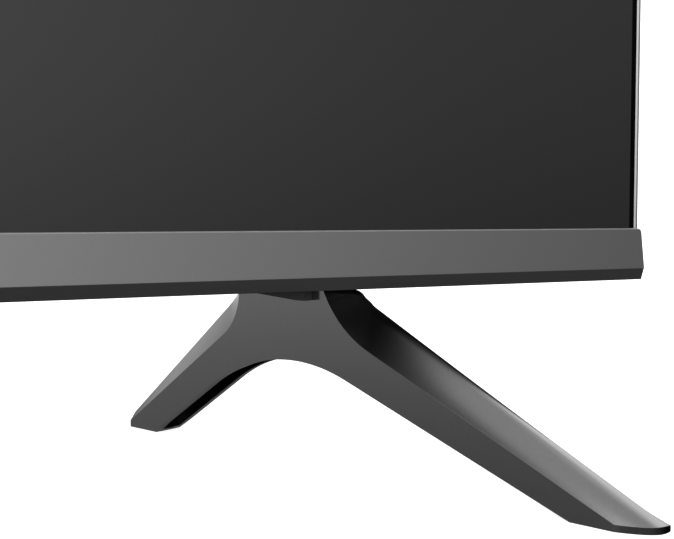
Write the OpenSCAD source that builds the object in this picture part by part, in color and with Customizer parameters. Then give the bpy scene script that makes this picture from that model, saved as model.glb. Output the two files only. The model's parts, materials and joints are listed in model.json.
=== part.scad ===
// Flat screen television on two splayed legs.
// Millimetres, +Z up, the screen faces -Y. The origin lies on the floor under the middle of the set.

/* [Screen] */
// Width of the lit picture
active_w = 941.2; // [800:0.1:1100]
// Height of the lit picture
active_h = 529.4; // [480:0.1:620]
// Black border between the picture and the bezel
border = 2.2; // [1.2:0.1:8]
// Strip between the chin's top edge and the picture
picture_gap = 0.4; // [0:0.1:4]
// Thickness of the glass cell
cell_t = 1.6; // [1:0.1:3]
// How far the glass lies behind the front of the bezel
glass_recess = 0.5; // [0.2:0.1:1.2]
// Height of the cell that the chin hides
cell_skirt = 6; // [4:0.5:7]
// Thickness of the foam tape behind the cell
tape_t = 0.4; // [0.2:0.1:1]
// Width of the foam tape
tape_w = 1.2; // [0.8:0.1:2]

/* [Bezel] */
// Width of the bezel seen from the front
bezel_w = 1.4; // [1:0.1:5]
// Depth of the bezel from front to back
bezel_d = 20; // [16:0.5:22]
// Chamfer on the bezel's inner front edge
bezel_chamfer = 0.5; // [0.2:0.1:0.8]

/* [Chin] */
// Height of the chin's front face
chin_face_h = 15.3; // [13:0.1:24]
// How far the face leans forward at its lower edge
chin_lean = 2; // [0.5:0.1:4]
// Thickness of the chin's wall
chin_t = 1.2; // [0.8:0.1:2]
// Chamfer along the chin's top edge
chin_edge = 0.5; // [0.2:0.1:0.8]
// How far the chin stands out past the bezel at each end
chin_overhang = 1; // [0.2:0.1:3]
// Rounding of the chin's top corners
chin_corner_r = 1.8; // [1:0.1:4]
// Height of the dark bevel under the face
bevel_h = 4.4; // [3:0.1:8]
// How far the bevel runs back
bevel_d = 1.5; // [0.5:0.1:3]
// Depth of the lower trim
trim_d = 10; // [8:0.5:12]
// Wall of the lower trim
trim_t = 2; // [1.5:0.1:3]
// Height of the tongue of the trim behind the chin
tongue_h = 4; // [3:0.5:6]

/* [Backlight] */
// Wall of the mid frame
mid_wall = 1.2; // [1:0.1:2]
// Thickness of the ledge between the cell and the sheets
ledge_t = 1.5; // [1:0.1:2.5]
// How far the ledge laps over the sheets
ledge_lap = 1; // [0.6:0.1:3]
// Thickness of each optical sheet
sheet_t = 0.3; // [0.2:0.1:0.6]
// Thickness of the diffuser plate
plate_t = 1.5; // [1:0.1:3]
// Depth of the light cavity
cavity_d = 14; // [12:0.5:16]
// Sheet steel of the back chassis
pan_t = 0.8; // [0.6:0.1:1.2]
// Width of the chassis flange under the diffuser plate
pan_flange = 6; // [4:0.5:12]
// Rows of LED bars
led_rows = 3; // [2:1:5]
// LEDs on each bar
led_count = 9; // [6:1:12]
// Height of an LED bar
led_bar_h = 16; // [12:0.5:24]
// Thickness of an LED bar
led_bar_t = 1; // [0.8:0.1:2]
// Radius of an LED lens
lens_r = 8; // [5:0.5:10]
// Height of an LED lens
lens_h = 4.5; // [3:0.5:6]
// Thickness of the reflector sheet
reflector_t = 0.4; // [0.3:0.1:0.8]

/* [Rear covers] */
// Wall of the rear covers
cover_t = 2.2; // [1.8:0.1:3]
// Air between the chassis and the thin part of the covers
cover_gap = 2; // [1.5:0.1:4]
// Depth of the set from the front of the chin to the back of the lower cover
bulge_d = 76; // [70:0.5:90]
// Half width of the deep middle part
bulge_half = 300; // [270:1:340]
// Height of its flat back above the underside of the set
bulge_h = 350; // [320:1:370]
// Height of the slope above that
bulge_slope = 44; // [30:1:60]
// Distance of the low band that holds the leg brackets from the sides of the set
band_inset = 44.2; // [20:0.1:60]
// Height of the band's flat back
band_h = 50; // [46:1:70]
// Height of the slope above the band
band_slope = 40; // [20:1:50]
// Chamfer round the outer rear edge
cover_chamfer = 3; // [1:0.1:3.6]
// Gap between upper and lower cover
seam = 0.4; // [0.2:0.1:1]
// Distance of the cover screws from the edge
screw_inset = 14; // [12:0.5:20]
// Width of a cooling slot
vent_w = 4; // [2:0.5:5]
// Height of a cooling slot
vent_h = 30; // [20:1:40]
// Spacing of the cooling slots
vent_pitch = 10; // [8:0.5:14]
// Cooling slots in each field
vent_count = 13; // [6:1:14]

/* [Wall mount] */
// Spacing of the wall mount holes
wall_pitch = 200; // [200:100:200]
// Height of the pattern's middle above the underside
wall_mid = 230; // [200:1:240]
// Radius of the threaded holes
wall_hole_r = 3; // [2:0.5:4]
// Depth of the threaded holes
wall_hole_depth = 20; // [12:1:30]
// Radius of a mount insert
insert_r = 8; // [6:0.5:10]
// How far the inserts lie below the cover
insert_sunk = 1; // [0.2:0.1:2]

/* [Legs] */
// Height of the set's underside above the floor
leg_h = 60; // [52:0.5:90]
// Angle by which the toes point outwards
splay = 22.66; // [10:0.01:30]
// Distance of the toe's inner corner from the end of the chin
leg_inset = 93.5; // [80:0.1:110]
// Thickness of a leg
leg_t = 12; // [11:0.1:18]
// Wall of the leg's hollow underside
leg_wall = 2.2; // [1.6:0.1:2.4]
// Distance from the chin's front back to the neck
neck_setback = 6.8; // [5:0.1:12]
// Toe to neck along the inner face
toe_to_neck = 104.5; // [90:0.1:130]
// Length of the neck along the inner face
neck_l = 40.1; // [36:0.1:50]
// Toe to heel along the inner face
heel_reach = 206.5; // [190:0.1:240]
// Neck's foremost corner below the underside, inner face
neck_drop_front = 13; // [11:0.1:16]
// Neck's rear corner below the underside, inner face
neck_drop_rear = 12.2; // [11:0.1:16]
// Radius where the neck flows into the front limb
neck_r_front = 40; // [20:0.5:41]
// Radius where the neck flows into the rear limb
neck_r_rear = 20; // [10:0.5:22]
// Crown of the arch below the underside, before it is rounded
arch_drop = 16.7; // [14:0.1:24]
// Radius of the arch
arch_r = 60; // [40:0.5:66]
// Thickness of toe and heel tips above the floor
toe_h = 1.6; // [1.2:0.1:2.4]
// Length of the flat under the toe
toe_flat = 13.8; // [12:0.1:20]
// Length of the flat under the heel
heel_flat = 16; // [14:0.1:22]
// Outer ridge ahead of the inner edge at the toe
ridge_front = 9.9; // [6:0.1:12]
// Outer ridge behind the inner edge at the heel
ridge_rear = 13.6; // [8:0.1:16]
// Thickness of the web that the leg screws clamp
web_t = 8; // [6:0.5:10]
// Thickness of a rubber pad
pad_t = 1; // [0.8:0.1:1.2]
// How far the pads stand out of the leg
pad_proud = 0.2; // [0.1:0.1:0.5]
// Radius of a leg screw
leg_screw_r = 2; // [1.5:0.1:2.5]

/* [Power key] */
// Width of the key pod
pod_w = 48; // [40:1:60]
// Depth of the key pod
pod_d = 18; // [16:0.5:20]
// Height of the key pod
pod_h = 7; // [6.5:0.1:9]
// Wall of the key pod
pod_t = 1.6; // [1.2:0.1:2]
// Radius of the power key
key_r = 4.7; // [3.5:0.1:5]
// How far the key stands out
key_proud = 1; // [0.9:0.1:1.6]
// Travel of the key
key_travel = 0.8; // [0.4:0.1:0.8]

/* [Electronics] */
// Distance of the boards from the chassis
board_gap = 9; // [8:0.5:12]
// Thickness of a board
board_t = 1.6; // [1:0.1:2]
// Width of each board
board_w = 178; // [150:1:180]
// Height of each board
board_h = 205; // [204:1:230]
// Height of the boards above the underside
board_z = 80; // [70:1:90]
// Radius of a board standoff
standoff_r = 3; // [2.5:0.1:4]
// Space between neighbouring sockets
port_gap = 7; // [6:0.1:7.5]
// Width of an HDMI socket
hdmi_w = 15; // [14.6:0.1:16]
// Width of a USB socket
usb_w = 14.5; // [14:0.1:15]
// Width of the network socket
lan_w = 16.5; // [16:0.1:18]
// Radius of the headphone hole
phone_r = 1.8; // [1.25:0.05:2]
// Radius of the antenna socket
antenna_r = 4.75; // [4.5:0.05:5]

/* [Sound] */
// Width of a speaker box
speaker_w = 104; // [80:1:108]
// Height of a speaker box
speaker_h = 38; // [30:1:46]
// Radius of a speaker driver
driver_r = 17; // [12:0.5:18]

/* [Hidden] */
$fn = 48;
// Clearance between pieces that only lie beside each other
fit = 0.1;
// Clearance between the chin and the glass
chin_fit = 0.3;
// Clearance round sockets, screws and inserts in their holes
hole_fit = 0.3;
// Clearance of a screw in its thread
thread_fit = 0.05;
// Steps along each rounded corner of a leg
arc_n = 8;
// Far enough to cut right through
cut = 1;
// How far the back chassis reaches below the cell
pan_drop = 1;
// Lower edge of the mid frame above the chin's lower edge
mid_rise = 1.2;
// Upper edge of the lower cover above the slope of the deep part
split_rise = 20;
// Distance of the boards from the side walls of the cover
board_margin = 6;
// How far the sockets lie below the side wall
port_sunk = 0.4;
// Distance of the LED bars from the sides of the chassis
led_margin = 20;

// Depths, measured from the front edge of the chin
y_glass = chin_lean + chin_t + chin_fit;
y_bezel = y_glass - glass_recess;
y_cell = y_glass + cell_t;
y_ledge = y_cell + tape_t;
y_sheets = y_ledge + ledge_t;
y_plate = y_sheets + 2 * sheet_t;
y_pan = y_plate + plate_t;
y_floor = y_pan + cavity_d;
y_back = y_floor + pan_t;
y_cover = y_back + cover_gap + cover_t;
y_rim = y_bezel + bezel_d;
y_board = y_back + board_gap;
y_parts = y_board + board_t;
y_bars = y_floor - led_bar_t;

// Heights
z0 = leg_h;
z_in = z0 + cover_t;
z_face = z0 + bevel_h;
z_chin = z_face + chin_face_h;
z_cell0 = z_chin - cell_skirt;
z_pan0 = z_cell0 - pan_drop;
z_mid0 = z_pan0 - fit - mid_wall;
z_top = z_chin + picture_gap + active_h + border + bezel_w;
z_cell1 = z_top - bezel_w - fit;
z_pan1 = z_cell1 - mid_wall - fit;
z_split = z0 + bulge_h + bulge_slope + split_rise;
z_boards = z0 + board_z;

// Half widths
half_frame = active_w / 2 + border + bezel_w;
half_chin = half_frame + chin_overhang;
half_cell = half_frame - bezel_w - fit;
half_pan = half_cell - mid_wall - fit;
band_half = half_frame - band_inset;
leg_x = half_chin - leg_inset;
board_edge = bulge_half - cover_t - board_margin;
port_face = bulge_half - port_sunk;

// Legs, in the leg's own frame: x runs forward along the inner face from the toe, y outwards
foot_z = pad_proud;
neck_a = -toe_to_neck;
neck_b = neck_a - neck_l;
// Nose of the toe seen from above, its rounding, and where the outer face begins
toe_point = [17, 8.5];
toe_r = 2.5;
toe_side = [-8, leg_t];
// End of the heel, slanting back across the leg
heel_slant = 7.5;
heel_in = [-heel_reach, 0];
heel_out = [-heel_reach - heel_slant, leg_t];
// Crown of the arch behind the front of the neck, and the arch's foot at the heel
arch_setback = 22.8;
arch_a = neck_a - arch_setback;
arch_heel = heel_reach - heel_flat;
// Where the limbs meet the thin tips, on the inner face
toe_break = -1;
heel_break = 2.7 - heel_reach;
// Corner between neck and front limb, ahead of the neck on the inner face
inner_front = 6.2;
// The same on the outer face: ends of the neck's top, corners ahead, behind and below it
outer_top_front = 3.5;
outer_top_rear = 8.9;
outer_front = [7, 3.9];
outer_rear = [15.4, 7.2];
outer_r_front = 27;
outer_r_rear = 60;
// How far the loft runs past the tips before it is trimmed
tip_spare = 4;
front_over = toe_point.x + tip_spare;
rear_over = heel_reach + ridge_rear + tip_spare;
// Leg screws: distances from the ends of the neck, rim of the head, height of the head
leg_screw_front = 10;
leg_screw_rear = 8;
leg_screw_w = leg_t / 2;
leg_screw_places = [[neck_a - leg_screw_front, leg_screw_w], [neck_b + leg_screw_rear, leg_screw_w]];
leg_head_r = leg_screw_r + 1.5;
leg_head_h = 2.4;
// Rubber pads: distances from the leg's sides, from its tips and from the ends of the arch
pad_margin = 2.5;
pad_tip = 4;
pad_inset = 1;
pads = [[pad_inset - toe_flat, -pad_tip], [pad_tip - heel_reach, -arch_heel - pad_inset]];

function unit(v) = v / norm(v);

// Arc that rounds the corner v between its neighbours p and q, no longer than the shorter side
function rounded(p, v, q, r, n) =
    let (d = unit(p - v), e = unit(q - v))
    let (half = acos(d * e) / 2)
    let (reach = min(r / tan(half), 0.98 * min(norm(p - v), norm(q - v))))
    let (radius = reach * tan(half))
    let (centre = v + unit(d + e) * (radius / sin(half)))
    let (from = v + d * reach - centre, to = v + e * reach - centre)
    let (start = atan2(from.y, from.x))
    let (turn = (atan2(to.y, to.x) - start + 540) % 360 - 180)
    [for (i = [0:n]) centre + radius * [cos(start + turn * i / n), sin(start + turn * i / n)]];

// The point q moved on along the line from p, by w across the leg
function past(p, q, w) = q + (q - p) * (w / abs(q.y - p.y));

// Outline of a leg seen from above, a little wider than the leg
leg_plan = concat(
    [past(heel_out, heel_in, cut), past(toe_point, [0, 0], cut)],
    rounded([0, 0], toe_point, toe_side, toe_r, arc_n),
    [past(toe_point, toe_side, cut), past(heel_in, heel_out, cut)]);

// Upper edge of a leg seen from its side: heel, rear limb, neck, front limb, toe
function leg_upper(heel, rear, rear_r, top_b, top_a, front, front_r, toe) = concat(
    [[-rear_over, toe_h], [heel, toe_h]],
    rounded([heel, toe_h], rear, [top_b, z0], rear_r, arc_n),
    [[top_b, z0], [top_a, z0]],
    rounded([top_a, z0], front, [toe, toe_h], front_r, arc_n),
    [[toe, toe_h], [front_over, toe_h]]);

inner_edge = leg_upper(heel_break, [neck_b, z0 - neck_drop_rear], neck_r_rear, neck_b,
    neck_a, [neck_a + inner_front, z0 - neck_drop_front], neck_r_front, toe_break);
outer_edge = leg_upper(heel_break - ridge_rear, [neck_b - outer_rear.x, z0 - outer_rear.y], outer_r_rear,
    neck_b - outer_top_rear, neck_a + outer_top_front, [neck_a + outer_front.x, z0 - outer_front.y],
    outer_r_front, toe_break + ridge_front);

// Lower edge, with a point for each point of the upper edge
heel_end = [-arch_heel, foot_z];
toe_end = [-toe_flat, foot_z];
lower_edge = concat(
    [[-rear_over, foot_z], heel_end],
    rounded(heel_end, [arch_a, z0 - arch_drop], toe_end, arch_r, 2 * arc_n + 3),
    [toe_end, [front_over, foot_z]]);

leg_side = concat(inner_edge, [for (i = [len(lower_edge) - 1:-1:0]) lower_edge[i]]);

// Place of the legs and of the set: the footprint is centred on Y = 0
function leg_turn(p) = [p.x * sin(splay) + p.y * cos(splay), p.y * sin(splay) - p.x * cos(splay)];
leg_reach = [for (p = concat(leg_plan, [heel_out])) leg_turn(p).y];
leg_y = -(min(leg_reach) + leg_turn(heel_out).y) / 2;
head_y = leg_y + toe_to_neck * cos(splay) - neck_setback;

// Steel brackets: margins round the leg screws, thickness, places of their own screws
bracket_margin = 12;
bracket_rear = 10;
bracket_front = 1;
bracket_x = [for (p = leg_screw_places) leg_x + leg_turn(p).x];
bracket_y = [for (p = leg_screw_places) leg_y + leg_turn(p).y];
bracket_x0 = min(bracket_x) - bracket_margin;
bracket_x1 = max(bracket_x) + bracket_margin;
bracket_top = z_mid0 - fit;
bracket_t = 2.5;
bracket_plate_gap = 8;
bracket_screw_z = z0 + 32;
bracket_screw_inset = 7;
bracket_screw_x = [bracket_x0 + bracket_screw_inset, bracket_x1 - bracket_screw_inset];

// Screws through the thin part of the covers
thread_r = 1.5;
screw_r = thread_r - thread_fit;
screw_head_r = 3.2;
screw_head_h = 1.6;
screw_head_sunk = 0.1;
boss_r = 4.5;
screw_x = half_frame - screw_inset;
upper_screws = concat(
    [for (x = [-1, 0, 1]) [x * screw_x, z_top - screw_inset]],
    [for (x = [-1, 1], k = [0.1, 0.55]) [x * screw_x, z_split + k * (z_top - z_split)]]);
lower_screws = [for (x = [-1, 1], k = [0, 0.5, 1])
    [x * screw_x, z_chin + screw_inset + k * (z_split - z_chin - 2 * screw_inset)]];

// Sockets from the bottom up: name, width, height off the board, depth
ports = [
    ["antenna", 14, 13, 12],
    ["lan", lan_w, 13.5, 21],
    ["optical", 10, 10, 14],
    ["hdmi", hdmi_w, 6, 14],
    ["hdmi", hdmi_w, 6, 14],
    ["hdmi", hdmi_w, 6, 14],
    ["usb", usb_w, 7, 15],
    ["usb", usb_w, 7, 15],
    ["headphone", 8, 7, 14]];
port_margin = 12;
function port_start(i) = i == 0 ? z_boards + port_margin : port_start(i - 1) + ports[i - 1][1] + port_gap;
function port_z(i) = port_start(i) + ports[i][1] / 2;
phone_nose_r = 3;
round_ports = ["antenna", "headphone"];
round_r = [antenna_r, phone_nose_r];
// Rear of the round sockets' noses, inside the side wall
port_wall = bulge_half - cover_t - hole_fit;
// Mains inlet
inlet_z = z_boards + 40;
inlet_w = 21;
inlet_h = 13;
inlet_d = 20;

board_hole_inset = 7;
board_holes = [for (x = [board_hole_inset, board_w - board_hole_inset],
    z = [board_hole_inset, board_h - board_hole_inset]) [x, z]];
wall_z = [z0 + wall_mid - wall_pitch / 2, z0 + wall_mid + wall_pitch / 2];
wall_x = [-wall_pitch / 2, wall_pitch / 2];
insert_back = bulge_d - insert_sunk;

led_z = [for (i = [0:led_rows - 1]) z_pan0 + (i + 0.5) * (z_pan1 - z_pan0) / led_rows];
led_x = [for (i = [0:led_count - 1]) (i + 0.5 - led_count / 2) * 2 * (half_pan - led_margin) / led_count];
post_x = [for (i = [0, 2, led_count - 4, led_count - 2]) (led_x[i] + led_x[i + 1]) / 2];
post_z = [for (i = [0:led_rows - 2]) (led_z[i] + led_z[i + 1]) / 2];

// Speaker boxes: wall, distances from cover's side, leg bracket, chassis and cover's back
speaker_t = 2;
speaker_inset = 10;
speaker_bracket_gap = 3;
speaker_front = 2;
speaker_rear = 6;
speaker_x = min(bulge_half - speaker_inset, bracket_x0 - speaker_bracket_gap) - speaker_w;
speaker_y0 = y_back + speaker_front;
speaker_y1 = bulge_d - cover_t - speaker_rear;
speaker_mid = [speaker_x + speaker_w / 2, (speaker_y0 + speaker_y1) / 2];
// Slots under a speaker
grille_pitch = 7;
grille_w = 2.5;
grille_count = 11;
grille_inset = 3;

// Key pod: how far it reaches under the trim, and what it holds
pod_lap = 6;
pod_y = trim_d - pod_lap;
pod_mid = pod_y + pod_d / 2;
pod_z = z0 - pod_h;
key_flange = 1.2;
key_flange_z = pod_z + pod_t;
key_flange_h = 1;
key_board_t = 1;
key_board_drop = 0.5;
key_board_z = z0 - key_board_t - key_board_drop;
switch_half = 3;
switch_h = 1.5;
plunger_r = 1.6;
// Window for the remote control: half width, distances from the pod's lower and upper edges
window_half = 12;
window_low = 2;
window_high = 1.5;

// Flat cable from the main board to the panel
ribbon_inset = 10;
ribbon_x = bulge_half - board_w + ribbon_inset;
ribbon_w = 25;
ribbon_t = 0.3;
ribbon_drop = 0.2;
ribbon_z = z_mid0 - ribbon_t - ribbon_drop;
ribbon_y = y_board + 0.6;

// Boards under the cell, and the flexible tabs that join them to it
flex_count = 8;
flex_w = 30;
source_x0 = 20;
source_l = 290;
source_t = 1.2;
source_gap = 1.2;
source_z = z_cell0 - source_gap;
source_h = source_z - z_face - source_gap;

// Placing helpers

// Pieces of the set, whose depths start at the front edge of the chin
module head() {
    translate([0, head_y, 0]) children();
}

module box(x, y, z) {
    translate([x[0], y[0], z[0]]) cube([x[1] - x[0], y[1] - y[0], z[1] - z[0]]);
}

// Profile in Y and Z, drawn out along X
module along_x(profile, x) {
    translate([x[0], 0, 0]) rotate([90, 0, 90]) linear_extrude(x[1] - x[0]) polygon(profile);
}

module rod_x(x, y, z, r) {
    translate([x[0], y, z]) rotate([0, 90, 0]) cylinder(h = x[1] - x[0], r = r);
}

module rod_y(x, y, z, r) {
    translate([x, y[1], z]) rotate([90, 0, 0]) cylinder(h = y[1] - y[0], r = r);
}

module rod_z(x, y, z, r) {
    translate([x, y, z[0]]) cylinder(h = z[1] - z[0], r = r);
}

module right_leg() {
    translate([leg_x, leg_y, 0]) rotate([0, 0, splay - 90]) children();
}

module both_sides() {
    children();
    mirror([1, 0, 0]) children();
}

// Profile along and up a leg, drawn out across it
module across_leg(w) {
    translate([0, w[1], 0]) rotate([90, 0, 0]) linear_extrude(w[1] - w[0]) children();
}

// Screen and backlight

module lcd_panel() {
    color("#16171a") head() box([-half_cell, half_cell], [y_glass, y_cell], [z_cell0, z_cell1]);
}

module panel_tape() {
    color("#202020") head() difference() {
        box([-half_cell, half_cell], [y_cell, y_ledge], [z_cell0, z_cell1]);
        box([tape_w - half_cell, half_cell - tape_w], [y_cell - cut, y_ledge + cut],
            [z_cell0 + tape_w, z_cell1 - tape_w]);
    }
}

module mid_frame() {
    color("#d8d8d4") head() difference() {
        union() {
            box([-half_cell, half_cell], [y_ledge, y_rim], [z_mid0, z_cell1]);
            box([-half_cell, half_cell], [y_ledge, y_sheets], [z_face + mid_rise, z_mid0 + cut]);
        }
        box([-half_pan - fit, half_pan + fit], [y_sheets, y_rim + cut], [z_pan0 - fit, z_pan1 + fit]);
        box([ledge_lap - half_pan, half_pan - ledge_lap], [y_ledge - cut, y_rim],
            [z_pan0 + ledge_lap, z_pan1 - ledge_lap]);
        box([ribbon_x - cut, ribbon_x + ribbon_w + cut], [y_ledge - cut, y_sheets + cut],
            [ribbon_z - hole_fit, ribbon_z + ribbon_t + hole_fit]);
    }
}

module optical_sheet(y, tint) {
    color(tint) head() box([-half_pan, half_pan], y, [z_pan0, z_pan1]);
}

module prism_sheet() {
    optical_sheet([y_sheets, y_sheets + sheet_t], "#e8eef0");
}

module diffuser_sheet() {
    optical_sheet([y_sheets + sheet_t, y_plate], "#f2f2f2");
}

module diffuser_plate() {
    optical_sheet([y_plate, y_pan], "#fafafa");
}

module diffuser_posts() {
    post_h = y_bars - reflector_t - y_pan;
    foot_r = 4;
    tip_r = 1.2;
    color("#f4f4f4") head() for (x = post_x, z = post_z)
        translate([x, y_bars - reflector_t, z]) rotate([90, 0, 0])
            cylinder(h = post_h, r1 = foot_r, r2 = tip_r);
}

module reflector_sheet() {
    inset = pan_t + fit;
    color("#fdfdfd") head() difference() {
        box([inset - half_pan, half_pan - inset], [y_bars - reflector_t, y_bars],
            [z_pan0 + inset, z_pan1 - inset]);
        for (x = led_x, z = led_z) rod_y(x, [y_bars - cut, y_bars + cut], z, lens_r + hole_fit);
    }
}

module led_bars() {
    color("#e6e6df") head() for (z = led_z)
        box([led_margin - half_pan, half_pan - led_margin], [y_bars, y_floor],
            [z - led_bar_h / 2, z + led_bar_h / 2]);
}

// Lens with an upright rim, a sloping crown and a dimple in its middle
module led_lenses() {
    rim_h = lens_h * 0.4;
    crown_r = lens_r * 0.6;
    dimple_h = lens_h * 0.8;
    color("#eef4f6") head() for (x = led_x, z = led_z)
        translate([x, y_bars, z]) rotate([90, 0, 0]) rotate_extrude()
            polygon([[0, 0], [lens_r, 0], [lens_r, rim_h], [crown_r, lens_h], [0, dimple_h]]);
}

module back_chassis() {
    color("#a9adb0") head() difference() {
        box([-half_pan, half_pan], [y_pan, y_back], [z_pan0, z_pan1]);
        box([pan_t - half_pan, half_pan - pan_t], [y_pan + pan_t, y_floor], [z_pan0 + pan_t, z_pan1 - pan_t]);
        box([pan_flange - half_pan, half_pan - pan_flange], [y_pan - cut, y_floor],
            [z_pan0 + pan_flange, z_pan1 - pan_flange]);
        for (p = concat(upper_screws, lower_screws))
            rod_y(p.x, [y_floor - cut, y_back + cut], p.y, thread_r);
        for (side = [-1, 1], x = bracket_screw_x)
            rod_y(side * x, [y_floor - cut, y_back + cut], bracket_screw_z, thread_r);
    }
}

// Bezel and chin

// Section of the bezel, its outer face at 0, the screen towards minus x
bezel_section = [[0, y_bezel], [0, y_rim], [-bezel_w, y_rim], [-bezel_w, y_bezel + bezel_chamfer],
    [bezel_chamfer - bezel_w, y_bezel]];

module side_bezel() {
    head() translate([half_frame, 0, z_chin]) linear_extrude(z_top - z_chin - bezel_w)
        polygon(bezel_section);
}

module bezel_left() {
    color("#6e7073") mirror([1, 0, 0]) side_bezel();
}

module bezel_right() {
    color("#6e7073") side_bezel();
}

module bezel_top() {
    profile = [for (p = bezel_section) [p.y, z_top + p.x]];
    color("#6e7073") head() along_x(profile, [-half_frame, half_frame]);
}

// Front face of the chin at height z
function chin_y(z) = chin_lean * (z - z_face) / chin_face_h;

module chin_cover() {
    z_edge = z_chin - chin_edge;
    front = [[0, z_face], [chin_y(z_edge), z_edge], [chin_lean + chin_edge, z_chin]];
    outline = concat(
        [[-half_chin, z_face - cut], [half_chin, z_face - cut]],
        rounded([half_chin, z_face], [half_chin, z_chin], [0, z_chin], chin_corner_r, arc_n),
        rounded([0, z_chin], [-half_chin, z_chin], [-half_chin, z_face], chin_corner_r, arc_n));
    color("#56585b") head() intersection() {
        union() {
            along_x(concat(front, [[chin_lean + chin_t, z_chin], [chin_t, z_face]]), [-half_chin, half_chin]);
            both_sides() along_x(concat(front, [[y_rim, z_chin], [y_rim, z_face]]),
                [half_chin - chin_t, half_chin]);
        }
        translate([0, y_rim + cut, 0]) rotate([90, 0, 0]) linear_extrude(y_rim + 2 * cut) polygon(outline);
    }
}

module chin_lower_trim() {
    tongue_y = chin_t + chin_y(z_face + tongue_h) + fit;
    profile = [[0, z_face], [bevel_d, z0], [trim_d, z0], [trim_d, z0 + trim_t],
        [bevel_d + trim_t, z0 + trim_t], [bevel_d + trim_t, z_face], [tongue_y + chin_t, z_face],
        [tongue_y + chin_t, z_face + tongue_h], [tongue_y, z_face + tongue_h], [tongue_y, z_face]];
    end = [[0, z_face], [bevel_d, z0], [y_rim, z0], [y_rim, z_face]];
    color("#1d1e20") head() union() {
        along_x(profile, [trim_t - half_chin, half_chin - trim_t]);
        both_sides() along_x(end, [half_chin - trim_t, half_chin]);
    }
}

// Rear covers

module edge_chamfer(z) {
    reach = cover_chamfer + cut;
    both_sides() translate([half_frame, y_cover, z[0]]) linear_extrude(z[1] - z[0])
        polygon([[cut, -reach], [cut, cut], [-reach, cut]]);
}

module cover_boss(p) {
    rod_y(p.x, [y_back, y_cover - cover_t / 2], p.y, boss_r);
}

module cover_screw_hole(p) {
    rod_y(p.x, [y_back - cut, y_cover + cut], p.y, thread_r + hole_fit);
    rod_y(p.x, [y_cover - screw_head_h, y_cover + cut], p.y, screw_head_r + hole_fit);
}

module cover_screw(p) {
    head() {
        rod_y(p.x, [y_cover - screw_head_h, y_cover - screw_head_sunk], p.y, screw_head_r);
        rod_y(p.x, [y_floor + fit, y_cover - screw_head_h], p.y, screw_r);
    }
}

// Thin rear wall with a rim that meets the bezel
module thin_cover(z) {
    box([-half_frame, half_frame], [y_cover - cover_t, y_cover], z);
    both_sides() box([half_frame - cover_t, half_frame], [y_rim, y_cover], z);
}

module upper_rear_cover() {
    z = [z_split + seam, z_top];
    reach = cover_chamfer + cut;
    wedge = [[y_cover - reach, z_top + cut], [y_cover + cut, z_top + cut], [y_cover + cut, z_top - reach]];
    color("#232427") head() difference() {
        union() {
            thin_cover(z);
            box([-half_frame, half_frame], [y_rim, y_cover], [z_top - cover_t, z_top]);
            for (p = upper_screws) cover_boss(p);
        }
        edge_chamfer([z[0] - cut, z[1] + cut]);
        along_x(wedge, [-half_frame - cut, half_frame + cut]);
        for (p = upper_screws) cover_screw_hole(p);
    }
}

// Hump on the cover, half wide, with a flat back h high and a slope above it, drawn in by inset
module hump(half, h, slope, inset, y) {
    back = bulge_d - inset;
    low = z0 + inset;
    high = z0 + h + slope - inset;
    profile = [[y, low], [back, low], [back, z0 + h - inset], [y_cover - inset, high], [y, high]];
    along_x(profile, [inset - half, half - inset]);
}

// Deep part of the lower cover
module bulge(inset, y) {
    hump(band_half, band_h, band_slope, inset, y);
    hump(bulge_half, bulge_h, bulge_slope, inset, y);
}

// Two fields of slots on each side, at these shares of the height of the flat back
module cooling_slots() {
    rows = [0.72, 0.88];
    field = (vent_count - 1) * vent_pitch;
    middle = (wall_pitch / 2 + insert_r + bulge_half) / 2;
    for (side = [-1, 1], i = [0:vent_count - 1], row = rows) {
        x = side * middle + i * vent_pitch - field / 2;
        z = z0 + row * bulge_h;
        box([x - vent_w / 2, x + vent_w / 2], [bulge_d - cover_t - cut, bulge_d + cut],
            [z - vent_h / 2, z + vent_h / 2]);
    }
}

module speaker_slots() {
    field = (grille_count - 1) * grille_pitch;
    reach = driver_r - grille_inset;
    for (side = [-1, 1], i = [0:grille_count - 1]) {
        x = side * speaker_mid.x + i * grille_pitch - field / 2;
        box([x - grille_w / 2, x + grille_w / 2], [speaker_mid.y - reach, speaker_mid.y + reach],
            [z0 - cut, z_in + cut]);
    }
}

module port_holes() {
    wall = [bulge_half - cover_t - cut, bulge_half + cut];
    for (i = [0:len(ports) - 1]) {
        kind = search([ports[i][0]], round_ports)[0];
        y_mid = y_parts + ports[i][2] / 2;
        if (is_num(kind))
            rod_x(wall, y_mid, port_z(i), round_r[kind] + hole_fit);
        else
            box(wall, [y_parts - hole_fit, y_parts + ports[i][2] + hole_fit],
                [port_z(i) - ports[i][1] / 2 - hole_fit, port_z(i) + ports[i][1] / 2 + hole_fit]);
    }
    mirror([1, 0, 0]) box(wall, [y_parts - hole_fit, y_parts + inlet_h + hole_fit],
        [inlet_z - inlet_w / 2 - hole_fit, inlet_z + inlet_w / 2 + hole_fit]);
}

module lower_rear_cover() {
    color("#1f2023") difference() {
        head() difference() {
            union() {
                thin_cover([z0, z_split]);
                box([trim_t + fit - half_chin, half_chin - trim_t - fit], [trim_d + fit, y_cover - cover_t],
                    [z0, z_in]);
                bulge(0, y_cover - cover_t);
                for (p = lower_screws) cover_boss(p);
            }
            bulge(cover_t, y_cover - cover_t - cut);
            edge_chamfer([z0 - cut, z_split + cut]);
            for (p = lower_screws) cover_screw_hole(p);
            for (x = wall_x, z = wall_z)
                rod_y(x, [bulge_d - cover_t - cut, bulge_d + cut], z, insert_r + hole_fit);
            cooling_slots();
            speaker_slots();
            port_holes();
        }
        both_sides() right_leg() for (p = leg_screw_places)
            rod_z(p.x, p.y, [z0 - cut, z_in + cut], leg_screw_r + hole_fit);
    }
}

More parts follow.
